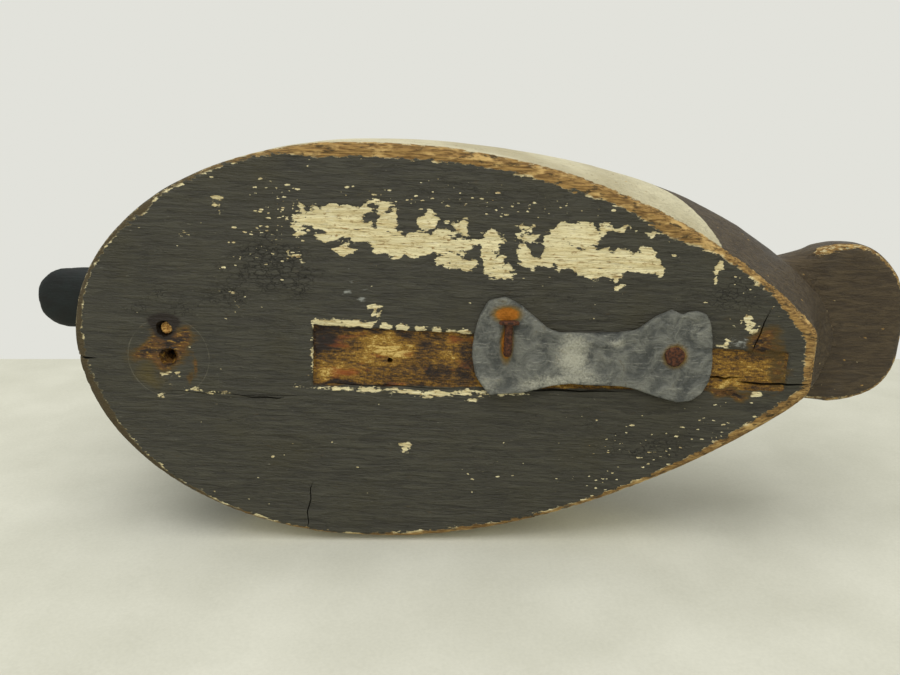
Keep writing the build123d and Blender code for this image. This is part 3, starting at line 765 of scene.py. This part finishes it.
# %% Specks where single flakes of paint are gone
shaken = add(tree, "VectorMath", {0: shove, 1: (1.1,) * 3, 2: stubby}, operation="MULTIPLY_ADD")
cell = add(tree, "TexVoronoi", {"Vector": shaken, "Scale": 1.15})
draw = add(tree, "TexVoronoi", {"Vector": shaken, "Scale": 1.15}, out="Color")
lottery = add(tree, "SeparateColor", {"Color": draw})
size_draw = add(tree, "SeparateColor", {"Color": draw}, out="Green")
lucky = add(tree, "Math", {0: field["crowd"], 1: 0.006}, operation="ADD")
lucky = add(tree, "Math", {0: lottery, 1: lucky}, operation="LESS_THAN")
speck_size = add(tree, "Math", {0: size_draw, 1: size_draw}, operation="MULTIPLY")
speck_size = add(tree, "MapRange", {"Value": speck_size, "To Min": 0.10, "To Max": 0.52})
cell = add(tree, "Math", {0: grit, 1: 0.5, 2: cell}, operation="MULTIPLY_ADD")
cell = add(tree, "Math", {0: cell, 1: 0.22}, operation="SUBTRACT")
in_speck = add(tree, "Math", {0: cell, 1: speck_size}, operation="LESS_THAN")
specks = add(tree, "Math", {0: in_speck, 1: lucky}, operation="MULTIPLY")

# %% Wood and coats of paint
# bare cedar: ochre, with darker late wood in fine lines along the grain
wood = coat(tree, linear("#6A4E28"), linear("#A5834A"), thread, 0.38, 0.62)
wood = coat(tree, wood, linear("#C7A567"), patch, 0.50, 0.64)
wood = coat(tree, wood, linear("#4A3B22"), lobe, 0.53, 0.64)
forward_end = add(tree, "SeparateXYZ", {"Vector": mm}, out="X")
weathered = add(tree, "Math", {0: lobe, 1: -60.0, 2: forward_end}, operation="MULTIPLY_ADD")
wood = coat(tree, wood, linear("#4C412A"), weathered, -70.0, -150.0)
# the ivory first coat: chalky, worn through to tan on the ridges
ivory = coat(tree, linear("#E6DBAE"), linear("#D2C392"), ridge, 0.42, 0.60)
ivory = coat(tree, ivory, linear("#E6DDBA"), thread, 0.44, 0.30)
ivory = coat(tree, ivory, linear("#A88B57"), thread, 0.56, 0.66)
ivory = coat(tree, ivory, linear("#9A7E4D"), chip, 0.55, 0.68)
ivory = coat(tree, ivory, linear("#8D7A50"), fissure, 0.3, 1.0)
# the charcoal repaint: brushed along the grain, dusty and with painted glints on its ridges, dark in its creases
charcoal = coat(tree, linear("#35332A"), linear("#424034"), ridge, 0.36, 0.64)
# lighter raised threads: dust, and painted glints where light catches the ridges
charcoal = coat(tree, charcoal, linear("#57543F"), thread, 0.61, 0.78)
charcoal = coat(tree, charcoal, linear("#3D3A2B"), cloud, 0.48, 0.75)
# pale specks on the chips: scuffs, and painted glints off the crackled paint
charcoal = coat(tree, charcoal, linear("#716E60"), chip, 0.645, 0.76)
charcoal = coat(tree, charcoal, linear("#4C421F"), field["olive"], 0.25, 1.1)
charcoal = coat(tree, charcoal, linear("#1A1811"), fissure, 0.1, 1.0)
scuffed_grey = add(tree, "Math", {0: chip, 1: 2.4, 2: field["scuff"]}, operation="MULTIPLY_ADD")
charcoal = coat(tree, charcoal, linear("#8E9089"), scuffed_grey, 1.75, 2.3)

# %% Where the bottom has lost its charcoal
torn = add(tree, "Math", {0: chip, 1: 0.35, 2: 0.0}, operation="MULTIPLY_ADD")
torn = add(tree, "Math", {0: lobe, 1: 0.65, 2: torn}, operation="MULTIPLY_ADD")
flaked = ragged(tree, field["flake"], 10.0, torn, 0.15)
slits = add(tree, "MapRange", {"Value": thread, "From Min": 0.685, "From Max": 0.66})
flaked = add(tree, "Math", {0: flaked, 1: slits}, operation="MULTIPLY")
rubbed = ragged(tree, field["worn"], 10.0, torn, 0.2)
lost = add(tree, "Math", {0: flaked, 1: rubbed}, operation="MAXIMUM")
lost = add(tree, "Math", {0: lost, 1: specks}, operation="MAXIMUM")
deep = add(tree, "Math", {0: patch, 1: 7.0, 2: field["worn"]}, operation="MULTIPLY_ADD")
deep = add(tree, "MapRange", {"Value": deep, "From Min": 4.4, "From Max": 3.2})
to_wood = add(tree, "Math", {0: rubbed, 1: deep}, operation="MULTIPLY")
first_coat = coat(tree, ivory, wood, to_wood, 0.0, 1.0)
bottom_paint = coat(tree, charcoal, first_coat, lost, 0.0, 1.0)

# %% Rust and painted shade in the strap's bed, and rust round the line holes
# wood stained by rusting iron runs from near black through orange to tan; the near black also serves as painted
# shade under the bed's upper wall and at its front end
rust_tone_and_bed_shade = add(tree, "Math", {0: patch, 1: 1.3, 2: field["tone"]}, operation="MULTIPLY_ADD")
rust_tone_and_bed_shade = add(tree, "Math", {0: chip, 1: 3.2, 2: rust_tone_and_bed_shade}, operation="MULTIPLY_ADD")
rust_tone_and_bed_shade = add(tree, "Math", {0: lobe, 1: 0.9, 2: rust_tone_and_bed_shade}, operation="MULTIPLY_ADD")
rust_tone_and_bed_shade = add(tree, "Math", {0: grit, 1: 2.4, 2: rust_tone_and_bed_shade}, operation="MULTIPLY_ADD")
stain_and_bed_shade = coat(tree, linear("#1E1209"), linear("#46300F"), rust_tone_and_bed_shade, 3.1, 3.6)
stain_and_bed_shade = coat(tree, stain_and_bed_shade, linear("#6E4D12"), rust_tone_and_bed_shade, 3.6, 4.0)
stain_and_bed_shade = coat(tree, stain_and_bed_shade, linear("#977122"), rust_tone_and_bed_shade, 4.0, 4.5)
stain_and_bed_shade = coat(tree, stain_and_bed_shade, linear("#D3B568"), rust_tone_and_bed_shade, 4.5, 5.1)
flame = add(tree, "TexNoise", {"Vector": stubby, "Scale": 0.14, "Detail": 4.0})
stain_and_bed_shade = coat(tree, stain_and_bed_shade, linear("#8A4509"), flame, 0.58, 0.74)
in_bed = ragged(tree, field["bed"], 1.6, chip)
bottom_paint = coat(tree, bottom_paint, stain_and_bed_shade, in_bed, 0.0, 1.0)
rusty = add(tree, "Math", {0: lobe, 1: 1.1, 2: field["rust"]}, operation="MULTIPLY_ADD")
bottom_paint = coat(tree, bottom_paint, linear("#4F3D16"), rusty, 0.66, 0.98)
rust_scale = coat(tree, linear("#20140B"), linear("#5E3E10"), lobe, 0.42, 0.58)
rust_scale = coat(tree, rust_scale, linear("#A37B2C"), chip, 0.53, 0.66)
bottom_paint = coat(tree, bottom_paint, rust_scale, rusty, 0.92, 1.2)

# %% The scratched ring round the line holes
RING_RADIUS = 17.2
from_middle = distance_to(tree, mm, -117, 8.6)
off_ring = add(tree, "Math", {0: from_middle, 1: RING_RADIUS}, operation="SUBTRACT")
off_ring = add(tree, "Math", {0: off_ring}, operation="ABSOLUTE")
off_ring = add(tree, "Math", {0: patch, 1: 1.1, 2: off_ring}, operation="MULTIPLY_ADD")
ring_line = add(tree, "MapRange", {"Value": off_ring, "From Min": 0.92, "From Max": 0.62})
bottom_paint = coat(tree, bottom_paint, linear("#635F50"), ring_line, 0.2, 1.8)
bottom_paint = coat(tree, bottom_paint, linear("#1D1409"), field["soot"], 0.3, 0.9)

# %% Upper side
brown = coat(tree, linear("#3B3021"), linear("#51442F"), ridge, 0.35, 0.66)
brown = coat(tree, brown, linear("#5B4F3D"), thread, 0.60, 0.76)
brown = coat(tree, brown, linear("#45403A"), cloud, 0.5, 0.8)
black = coat(tree, linear("#1C1B18"), linear("#302E2A"), ridge, 0.35, 0.7)
cream = coat(tree, linear("#CDC5A4"), linear("#B4AA88"), cloud, 0.4, 0.7)
cream = coat(tree, cream, linear("#9C9173"), thread, 0.60, 0.76)
cream = coat(tree, cream, linear("#8B8062"), chip, 0.62, 0.76)
before_breast = add(tree, "Math", {0: field["breast"], 1: -1.0}, operation="MULTIPLY")
in_breast = ragged(tree, before_breast, 5.0, lobe)
top_paint = coat(tree, brown, black, in_breast, 0.0, 1.0)
outside_cream = add(tree, "Math", {0: field["cream"], 1: -1.0}, operation="MULTIPLY")
in_cream = ragged(tree, outside_cream, 3.0, lobe)
top_paint = coat(tree, top_paint, cream, in_cream, 0.0, 1.0)
top_paint = coat(tree, top_paint, linear("#1A1813"), fissure, 0.3, 1.8)
proud = add(tree, "Math", {0: lobe, 1: 1.1, 2: field["edge"]}, operation="MULTIPLY_ADD")
corner = add(tree, "MapRange", {"Value": proud, "From Min": 1.26, "From Max": 1.36})
top_lost = add(tree, "Math", {0: corner, 1: rubbed}, operation="MAXIMUM")
top_lost = add(tree, "Math", {0: top_lost, 1: specks}, operation="MAXIMUM")
top_wood = coat(tree, wood, ivory, chip, 0.52, 0.6)
top_paint = coat(tree, top_paint, top_wood, top_lost, 0.0, 1.0)

# %% Put the body's finish together
colour = coat(tree, top_paint, bottom_paint, field["under"], 0.0, 1.0)
film = add(tree, "Mix", {"Factor": field["under"], "A": top_lost, "B": lost})
film_height = add(tree, "Math", {0: film, 1: -0.22}, operation="MULTIPLY")
height = add(tree, "Math", {0: ridge, 1: 1.35, 2: film_height}, operation="MULTIPLY_ADD")
height = add(tree, "Math", {0: thread, 1: 0.42, 2: height}, operation="MULTIPLY_ADD")
height = add(tree, "Math", {0: chip, 1: 0.62, 2: height}, operation="MULTIPLY_ADD")
height = add(tree, "Math", {0: fissure, 1: -0.28, 2: height}, operation="MULTIPLY_ADD")
height = add(tree, "Math", {0: ring_line, 1: -0.12, 2: height}, operation="MULTIPLY_ADD")
sheen = add(tree, "MapRange", {"Value": film, "To Min": 0.50, "To Max": 0.82})
finish_material(tree, colour, sheen, height, Specular_IOR_Level=0.32)
body.data.materials.clear()
body.data.materials.append(body_paint)
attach(body, "root")
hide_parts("body")

# %% [markdown]
# ## The lead weight
#
# The ballast is a scrap of sheet lead about 2 mm thick, cut with snips, nailed on through both
# ends and hammered down, so its middle is drawn in and its surface is full of dents. We draw its
# outline with the few corners that the snips left, give it thickness, and remesh it finely. Then
# we round its outline, and hammer it with a cell pattern, whose cells are the dents.

# %% Cut and hammer the lead
LEAD_OUTLINE = [
    (24, -24), (17, -22), (13.5, -15), (11.6, -7), (11, 2), (13, 11), (19, 19), (26, 18.4),
    (32.5, 18), (39, 16), (45, 14), (53, 12.7), (62, 13), (72, 13), (79, 13.6), (90, 17),
    (99, 19), (105, 18), (109, 15), (112, 9), (112.5, 2), (111.5, -9), (110, -16), (107.5, -20),
    (104, -21), (100, -20.6), (98, -19.2), (95.5, -20.2), (93, -21), (87, -18), (79, -12),
    (72, -10.5), (64, -10), (56, -9.6), (48, -9.5), (43, -11), (39, -14), (30, -21),
]
LEAD_THICKNESS = 2.2
LEAD_VOXEL = 0.6
BENT_NAIL = (Vector((25, -12, 0)), Vector((26, 0.5, 0)))
shape = bmesh.new()
face = shape.faces.new([shape.verts.new(at(x, y, 0.3)) for x, y in LEAD_OUTLINE])
grown = bmesh.ops.extrude_face_region(shape, geom=[face])
for v in [g for g in grown["geom"] if isinstance(g, bmesh.types.BMVert)]:
    v.co.z -= (LEAD_THICKNESS + 0.3) * MM
bmesh.ops.recalc_face_normals(shape, faces=shape.faces)
lead = piece_from(shape, "lead_ballast")
apply_modifier(lead, "REMESH", mode="VOXEL", voxel_size=LEAD_VOXEL * MM)
shape = reopen(lead)
for _ in range(10):
    bmesh.ops.smooth_vert(shape, verts=shape.verts, factor=0.5, use_axis_x=True, use_axis_y=True)


def bump_at(x, y, cx, cy, rx, ry):
    """1 in the middle of an ellipse, falling softly to 0."""
    return math.exp(-(((x - cx) / rx) ** 2) - ((y - cy) / ry) ** 2)


def lead_lift(x, y):
    """How far the sheet stands off the wood, in mm."""
    lift = 1.3 * bump_at(x, y, 22, -23, 9, 6) + 0.9 * bump_at(x, y, 17, 18, 8, 6)
    lift += 1.2 * bump_at(x, y, 44, -11, 8, 4) + 0.8 * bump_at(x, y, 52, 12, 14, 4)
    lift += 0.9 * bump_at(x, y, 80, -12, 7, 5) + 0.8 * bump_at(x, y, 98, 18, 12, 5)
    lift += 0.9 * bump_at(x, y, 103, -20, 10, 4) - 0.5 * bump_at(x, y, 96, -1, 7, 7)
    lift += 0.7 * bump_at(x, y, 38, 3, 5, 12) - 0.6 * bump_at(x, y, 30, 6, 7, 8)
    lift += 0.5 * bump_at(x, y, 70, 2, 5, 9)
    return lift


def tongue(x, y):
    """The lapped tongue of lead on the narrow waist: it slopes up and ends in a step."""
    if not 55 < x < 77:
        return 0.0
    width = math.sin(math.pi * (x - 55) / 22) ** 0.7
    edge = -9 + 5.2 * width
    step = min(1.0, max(0.0, (edge - y) / 0.6))
    return 0.9 * step * width * max(0.0, 1 - (edge - y) / 9)


for v in shape.verts:
    x, y, z = ruler(v.co)
    facing = -v.normal.z
    dents = noise.voronoi((x * 0.16, y * 0.16, 2.0))[0]
    hammered = 0.9 * min(0.5, dents[0]) + 0.30 * noise.noise((x * 0.11, y * 0.11, 1.0))
    creases = 0.22 * noise.noise(((x + y) * 0.25, (x - y) * 0.05, 3.0))
    nail_line = BENT_NAIL[1] - BENT_NAIL[0]
    share = min(1.0, max(0.0, (Vector((x, y, 0)) - BENT_NAIL[0]).dot(nail_line) / nail_line.length_squared))
    off_nail = (Vector((x, y, 0)) - BENT_NAIL[0] - nail_line * share).length
    groove = 0.7 * math.exp(-((off_nail / 2.6) ** 2))
    rise = lead_lift(x, y)
    if facing > -0.2:
        rise += (hammered + creases + tongue(x, y) - groove) * max(0.0, facing)
    v.co.z -= rise * MM
relax(shape, shape.verts, 1)
shape.to_mesh(lead.data)
shape.free()
lead.data.shade_smooth()
print("lead:", len(lead.data.polygons), "faces")

# %% [markdown]
# Old sheet lead is dull blue-grey. Where water lay it has grown a white, chalky oxide, and the
# iron nails have stained it orange. Lead itself is a metal, but its oxide isn't, so the two
# differ in the metallic setting as well as in colour.

# %% Lead finish
lead_finish, tree, mm = start_material("hammered sheet lead with white oxide")
mottled = {"Vector": mm, "Scale": 0.11, "Detail": 8.0, "Roughness": 0.68, "Distortion": 0.6}
cloud = add(tree, "TexNoise", mottled)
grit = add(tree, "TexNoise", {"Vector": mm, "Scale": 1.1, "Detail": 5.0, "Roughness": 0.72})
hammer_turn = {"Vector": mm, "Rotation": (0, 0, math.radians(-35)), "Scale": (0.15, 1, 1)}
slanted = add(tree, "Mapping", hammer_turn)
scratches = add(tree, "TexNoise", {"Vector": slanted, "Scale": 0.9, "Detail": 5.0, "Roughness": 0.7})
grey = coat(tree, linear("#515350"), linear("#7C7D75"), cloud, 0.38, 0.62)
grey = coat(tree, grey, linear("#97978C"), scratches, 0.54, 0.72)
grey = coat(tree, grey, linear("#3A3B38"), grit, 0.56, 0.74)
grey = coat(tree, grey, linear("#5B5440"), cloud, 0.60, 0.74)


# %% White oxide and rust stains on the lead
OXIDE_SPOTS = [
    (54, 1, 11, 17, 0.75), (44, 12, 13, 5, 0.62), (71, -6, 7, 3.4, 0.55), (62, 10, 9, 6, 0.4),
    (18, 15, 10, 8, 0.30), (22, -18, 12, 7, 0.15), (102, -14, 10, 8, 0.20), (35, 14, 9, 4, 0.35),
]
RUST_HALOS = [(25, -16.4, 1.25, 0.75), (25.6, -4, 0.55, 1.7), (96.3, -1.2, 1.0, 1.0)]
white = 0.0
for x, y, reach_x, reach_y, strength in OXIDE_SPOTS:
    away = distance_to(tree, mm, x, y, reach_x, reach_y)
    fade = {"Value": away, "From Min": 1.0, "From Max": 0.1, "To Max": strength}
    spot = add(tree, "MapRange", fade, interpolation_type="SMOOTHSTEP")
    white = add(tree, "Math", {0: white, 1: spot}, operation="ADD")
chalky = add(tree, "Math", {0: grit, 1: 1.6, 2: white}, operation="MULTIPLY_ADD")
chalky = add(tree, "Math", {0: cloud, 1: 0.9, 2: chalky}, operation="MULTIPLY_ADD")
oxide = add(tree, "MapRange", {"Value": chalky, "From Min": 1.32, "From Max": 2.25})
colour = coat(tree, grey, linear("#B3B19F"), oxide, 0.0, 1.0)
for x, y, stretch_x, stretch_y in RUST_HALOS:
    away = distance_to(tree, mm, x, y, stretch_x, stretch_y)
    away = add(tree, "Math", {0: grit, 1: 2.2, 2: away}, operation="MULTIPLY_ADD")
    colour = coat(tree, colour, linear("#7D6530"), away, 7.6, 4.8)
    colour = coat(tree, colour, linear("#B5701A"), away, 5.6, 4.2)
height = add(tree, "Math", {0: grit, 1: 0.6}, operation="MULTIPLY")
height = add(tree, "Math", {0: scratches, 1: 0.7, 2: height}, operation="MULTIPLY_ADD")
height = add(tree, "Math", {0: cloud, 1: 3.2, 2: height}, operation="MULTIPLY_ADD")
metal = add(tree, "MapRange", {"Value": oxide, "To Min": 0.55, "To Max": 0.0})
finish_material(tree, colour, 0.48, height, Metallic=metal)
lead.data.materials.clear()
lead.data.materials.append(lead_finish)
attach(lead, "root")
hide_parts("lead_weight")

# %% [markdown]
# ## Rusty nails
#
# The nails are iron. One went in crooked, so it was bent over and beaten flat into the lead.
# Their CAD shapes are right in size but too clean. A fine remesh and some noise give them
# the lumps that scale leaves, and the finish runs from dark scale to orange bloom.

# %% Rust
rust, tree, mm = start_material("rusted iron wire")
lumps = add(tree, "TexNoise", {"Vector": mm, "Scale": 0.8, "Detail": 5.0, "Roughness": 0.65})
bloom = add(tree, "TexNoise", {"Vector": mm, "Scale": 0.35, "Detail": 5.0})
colour = coat(tree, linear("#2B1A14"), linear("#5C3722"), lumps, 0.38, 0.62)
colour = coat(tree, colour, linear("#8F5218"), bloom, 0.70, 0.84)
height = add(tree, "Math", {0: lumps, 1: 0.5}, operation="MULTIPLY")
finish_material(tree, colour, 0.82, height, Specular_IOR_Level=0.3)


def rusted_copy(node, name, voxel, lump):
    """A remeshed, lumpy copy of a CAD nail that stands for it."""
    nail = piece_from(shape_of(node), name)
    apply_modifier(nail, "REMESH", mode="VOXEL", voxel_size=voxel * MM)
    shape = reopen(nail)
    relax(shape, shape.verts, 2)
    shape.normal_update()
    for v in shape.verts:
        p = ruler(v.co)
        v.co += v.normal * lump * (noise.noise(p * 0.55) + 0.5 * noise.noise(p * 1.3)) * MM
    shape.to_mesh(nail.data)
    shape.free()
    nail.data.shade_smooth()
    nail.data.materials.clear()
    nail.data.materials.append(rust)
    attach(nail, "root")
    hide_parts(node)
    print(name, len(nail.data.polygons), "faces")
    return nail


rusted_copy("weight_nail_front", "bent_ballast_nail", 0.3, 0.35)
rusted_copy("weight_nail_rear", "straight_ballast_nail", 0.3, 0.4)
rusted_copy("neck_nails", "toe_nails", 0.35, 0.12)

# %% [markdown]
# ## The stub in the line hole
#
# One leg of the anchor staple broke off, and the hole it left was plugged. What shows is a
# short, split end of golden wood, a little below the surface.

# %% Plug
raw_wood, tree, mm = start_material("bare split cedar")
along = add(tree, "Mapping", {"Vector": mm, "Scale": (1, 1, 0.15)})
fibre = add(tree, "TexNoise", {"Vector": along, "Scale": 1.4, "Detail": 5.0, "Roughness": 0.65})
colour = coat(tree, linear("#7A4C1A"), linear("#DDB062"), fibre, 0.36, 0.64)
height = add(tree, "Math", {0: fibre, 1: 0.6}, operation="MULTIPLY")
finish_material(tree, colour, 0.72, height, Specular_IOR_Level=0.35)
stub = piece_from(shape_of("line_tie_stub"), "line_hole_plug")
apply_modifier(stub, "REMESH", mode="VOXEL", voxel_size=0.3 * MM)
shape = reopen(stub)
low = min(ruler(v.co).z for v in shape.verts)
for v in shape.verts:
    x, y, z = ruler(v.co)
    if z < low + 0.8:
        split = noise.noise((x * 0.7, y * 1.1, 1.0)) + 0.5 * noise.noise((x * 1.9, y * 1.9, 2.0))
        v.co.z += 0.9 * split * MM
shape.to_mesh(stub.data)
shape.free()
stub.data.shade_smooth()
stub.data.materials.clear()
stub.data.materials.append(raw_wood)
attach(stub, "root")
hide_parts("line_tie_stub")

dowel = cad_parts["neck_dowel"]
dowel.data.materials.clear()
dowel.data.materials.append(raw_wood)

# %% [markdown]
# ## The head
#
# The head is a second block of cedar, whittled to shape and turned a few degrees to the right.
# We give it the same fine skin as the body, rub its facets down, and carve what a CAD solid
# leaves out: the mouth line, the nostrils and the ring round each eye.

# %% Head skin
HEAD_VOXEL = 1.3
head = piece_from(shape_of("head"), "carved_head")
apply_modifier(head, "REMESH", mode="VOXEL", voxel_size=HEAD_VOXEL * MM)
shape = reopen(head)
dowel_low, dowel_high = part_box("neck_dowel")
neck_axis = (dowel_low + dowel_high) / 2
bill_tip = min((v.co for v in shape.verts), key=lambda p: p.x).copy()
forward = (bill_tip - neck_axis)
forward.z = 0
forward.normalize()
sideways = Vector((-forward.y, forward.x, 0))
bill_reach = (bill_tip - neck_axis).dot(forward) / MM
BILL_LENGTH = 62
bill_root = bill_reach - BILL_LENGTH
seat_height = ruler(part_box("head")[0]).z


def head_place(point):
    """Millimetres ahead of the neck dowel, to the side of it and above the neck seat."""
    away = point - neck_axis
    return away.dot(forward) / MM, away.dot(sideways) / MM, ruler(point).z - seat_height


NECK_JOINT = (16, 34)
relax(shape, shape.verts, 8)
relax(shape, [v for v in shape.verts if NECK_JOINT[0] < head_place(v.co)[2] < NECK_JOINT[1]
              and abs(head_place(v.co)[0]) < 26], 26)
bill_faces = [f for f in shape.faces if head_place(f.calc_center_median())[0] > bill_root - 6]
bill_edges = list({e for f in bill_faces for e in f.edges})
bmesh.ops.subdivide_edges(shape, edges=bill_edges, cuts=1, use_grid_fill=True)
relax(shape, [v for v in shape.verts if head_place(v.co)[0] > bill_root - 4], 2)
print("bill root", round(bill_root), "mm ahead of the dowel, reach", round(bill_reach))

# %% Carve the mouth, the nostrils and the eye rings
MOUTH_RISE = 25.5
NOSTRIL = (24, 8.5, 35.0)
eyes = {}
for node in ("eye_left", "eye_right"):
    eye_low, eye_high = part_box(node)
    eyes[node] = head_place((eye_low + eye_high) / 2)
shape.normal_update()
for v in shape.verts:
    u, side, rise = head_place(v.co)
    push = 0.22 * noise.noise((u * 0.09, side * 0.09, rise * 0.09))
    push += 0.10 * noise.noise((u * 0.05, side * 0.3, rise * 0.3))
    if u > bill_root - 4:
        mouth = MOUTH_RISE + 0.06 * (u - bill_root) - 2.5 * math.exp(-((u - bill_root) / 9) ** 2)
        push -= 0.75 * math.exp(-(((rise - mouth) / 0.8) ** 2)) * min(1.0, (u - bill_root + 4) / 6)
        nostril = ((u - bill_root - NOSTRIL[0]) / 4.2) ** 2 + ((abs(side) - NOSTRIL[1]) / 2.4) ** 2
        if rise > mouth + 3:
            push -= 0.9 * math.exp(-nostril)
    for eu, eside, erise in eyes.values():
        if side * eside > 0:
            away = math.hypot(u - eu, rise - erise)
            push -= 0.55 * math.exp(-(((away - 6.2) / 1.3) ** 2))
    v.co += v.normal * push * MM
shape.normal_update()
smooth_copy = shape.copy()
relax(smooth_copy, smooth_copy.verts, 12)
smooth_copy.verts.ensure_lookup_table()
head_fields = {"bill": [], "edge": []}
for v in shape.verts:
    u, side, rise = head_place(v.co)
    curve = 4 * math.exp(-((abs(side) / 9) ** 2))
    head_fields["bill"].append(u - bill_root + 1.5 - curve)
    head_fields["edge"].append((v.co - smooth_copy.verts[v.index].co).dot(v.normal) / MM)
smooth_copy.free()
shape.to_mesh(head.data)
shape.free()
for name, values in head_fields.items():
    layer = head.data.attributes.new(name, "FLOAT", "POINT")
    layer.data.foreach_set("value", values)
head.data.shade_smooth()

# %% [markdown]
# The head is painted near-black, and the bill a very dark blue-green. Both are rubbed brown at
# their edges by years of handling.

# %% Head paint
head_paint, tree, mm = start_material("old near-black oil paint on cedar")
along = add(tree, "Mapping", {"Vector": mm, "Scale": (0.12, 1, 1)})
ridge = add(tree, "TexNoise", {"Vector": along, "Scale": 0.45, "Detail": 5.0, "Roughness": 0.6})
chip = add(tree, "TexNoise", {"Vector": mm, "Scale": 0.6, "Detail": 5.0, "Roughness": 0.62})
patch = add(tree, "TexNoise", {"Vector": mm, "Scale": 0.16, "Detail": 6.0, "Roughness": 0.6})
bill_line = add(tree, "Attribute", out="Fac", attribute_name="bill")
standing = add(tree, "Attribute", out="Fac", attribute_name="edge")
black = coat(tree, linear("#161514"), linear("#292724"), ridge, 0.35, 0.7)
teal = coat(tree, linear("#070C0B"), linear("#0F1817"), patch, 0.35, 0.7)
before_bill = add(tree, "Math", {0: bill_line, 1: -1.0}, operation="MULTIPLY")
on_bill = ragged(tree, before_bill, 0.8, chip)
colour = coat(tree, black, teal, on_bill, 0.0, 1.0)
wood = coat(tree, linear("#6E5330"), linear("#A88350"), ridge, 0.4, 0.6)
proud = add(tree, "Math", {0: patch, 1: 0.8, 2: standing}, operation="MULTIPLY_ADD")
colour = coat(tree, colour, wood, proud, 0.80, 0.94)
height = add(tree, "Math", {0: ridge, 1: 0.35}, operation="MULTIPLY")
height = add(tree, "Math", {0: chip, 1: 0.15, 2: height}, operation="MULTIPLY_ADD")
sheen = add(tree, "MapRange", {"Value": patch, "To Min": 0.42, "To Max": 0.68})
finish_material(tree, colour, sheen, height, Specular_IOR_Level=0.32)
head.data.materials.clear()
head.data.materials.append(head_paint)
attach(head, "root")
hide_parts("head")

# %% [markdown]
# ## Glass eyes
#
# Decoy eyes are small domes of yellow glass with a black pupil fired into the middle, on a wire.
# The CAD solids are right as they are. The pattern is a round one, centred on each eye's own
# box, so each eye has its own material with its own Mapping.

# %% Eyes
for node in eyes:
    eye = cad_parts[node]
    eye_low, eye_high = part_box(node)
    eye_finish, tree, mm = start_material("fired amber glass, " + node.replace("_", " "))
    middle = (ruler(eye_low) + ruler(eye_high)) / 2
    out_of_axis = add(tree, "VectorMath", {0: mm, 1: middle}, operation="SUBTRACT")
    flattened = add(tree, "VectorMath", {0: out_of_axis, 1: (1, 0, 1)}, operation="MULTIPLY")
    radius = add(tree, "VectorMath", {0: flattened}, out="Value", operation="LENGTH")
    streaks = add(tree, "TexNoise", {"Vector": mm, "Scale": 1.2, "Detail": 3.0})
    iris = coat(tree, linear("#C98A12"), linear("#E3AE2E"), streaks, 0.4, 0.65)
    iris = coat(tree, iris, linear("#5A3608"), radius, 3.6, 4.6)
    colour = coat(tree, iris, linear("#050505"), radius, 2.5, 2.2)
    height = add(tree, "Math", {0: streaks, 1: 0.02}, operation="MULTIPLY")
    finish_material(tree, colour, 0.06, height, Coat_Weight=1.0, Coat_Roughness=0.03)
    eye.data.materials.clear()
    eye.data.materials.append(eye_finish)
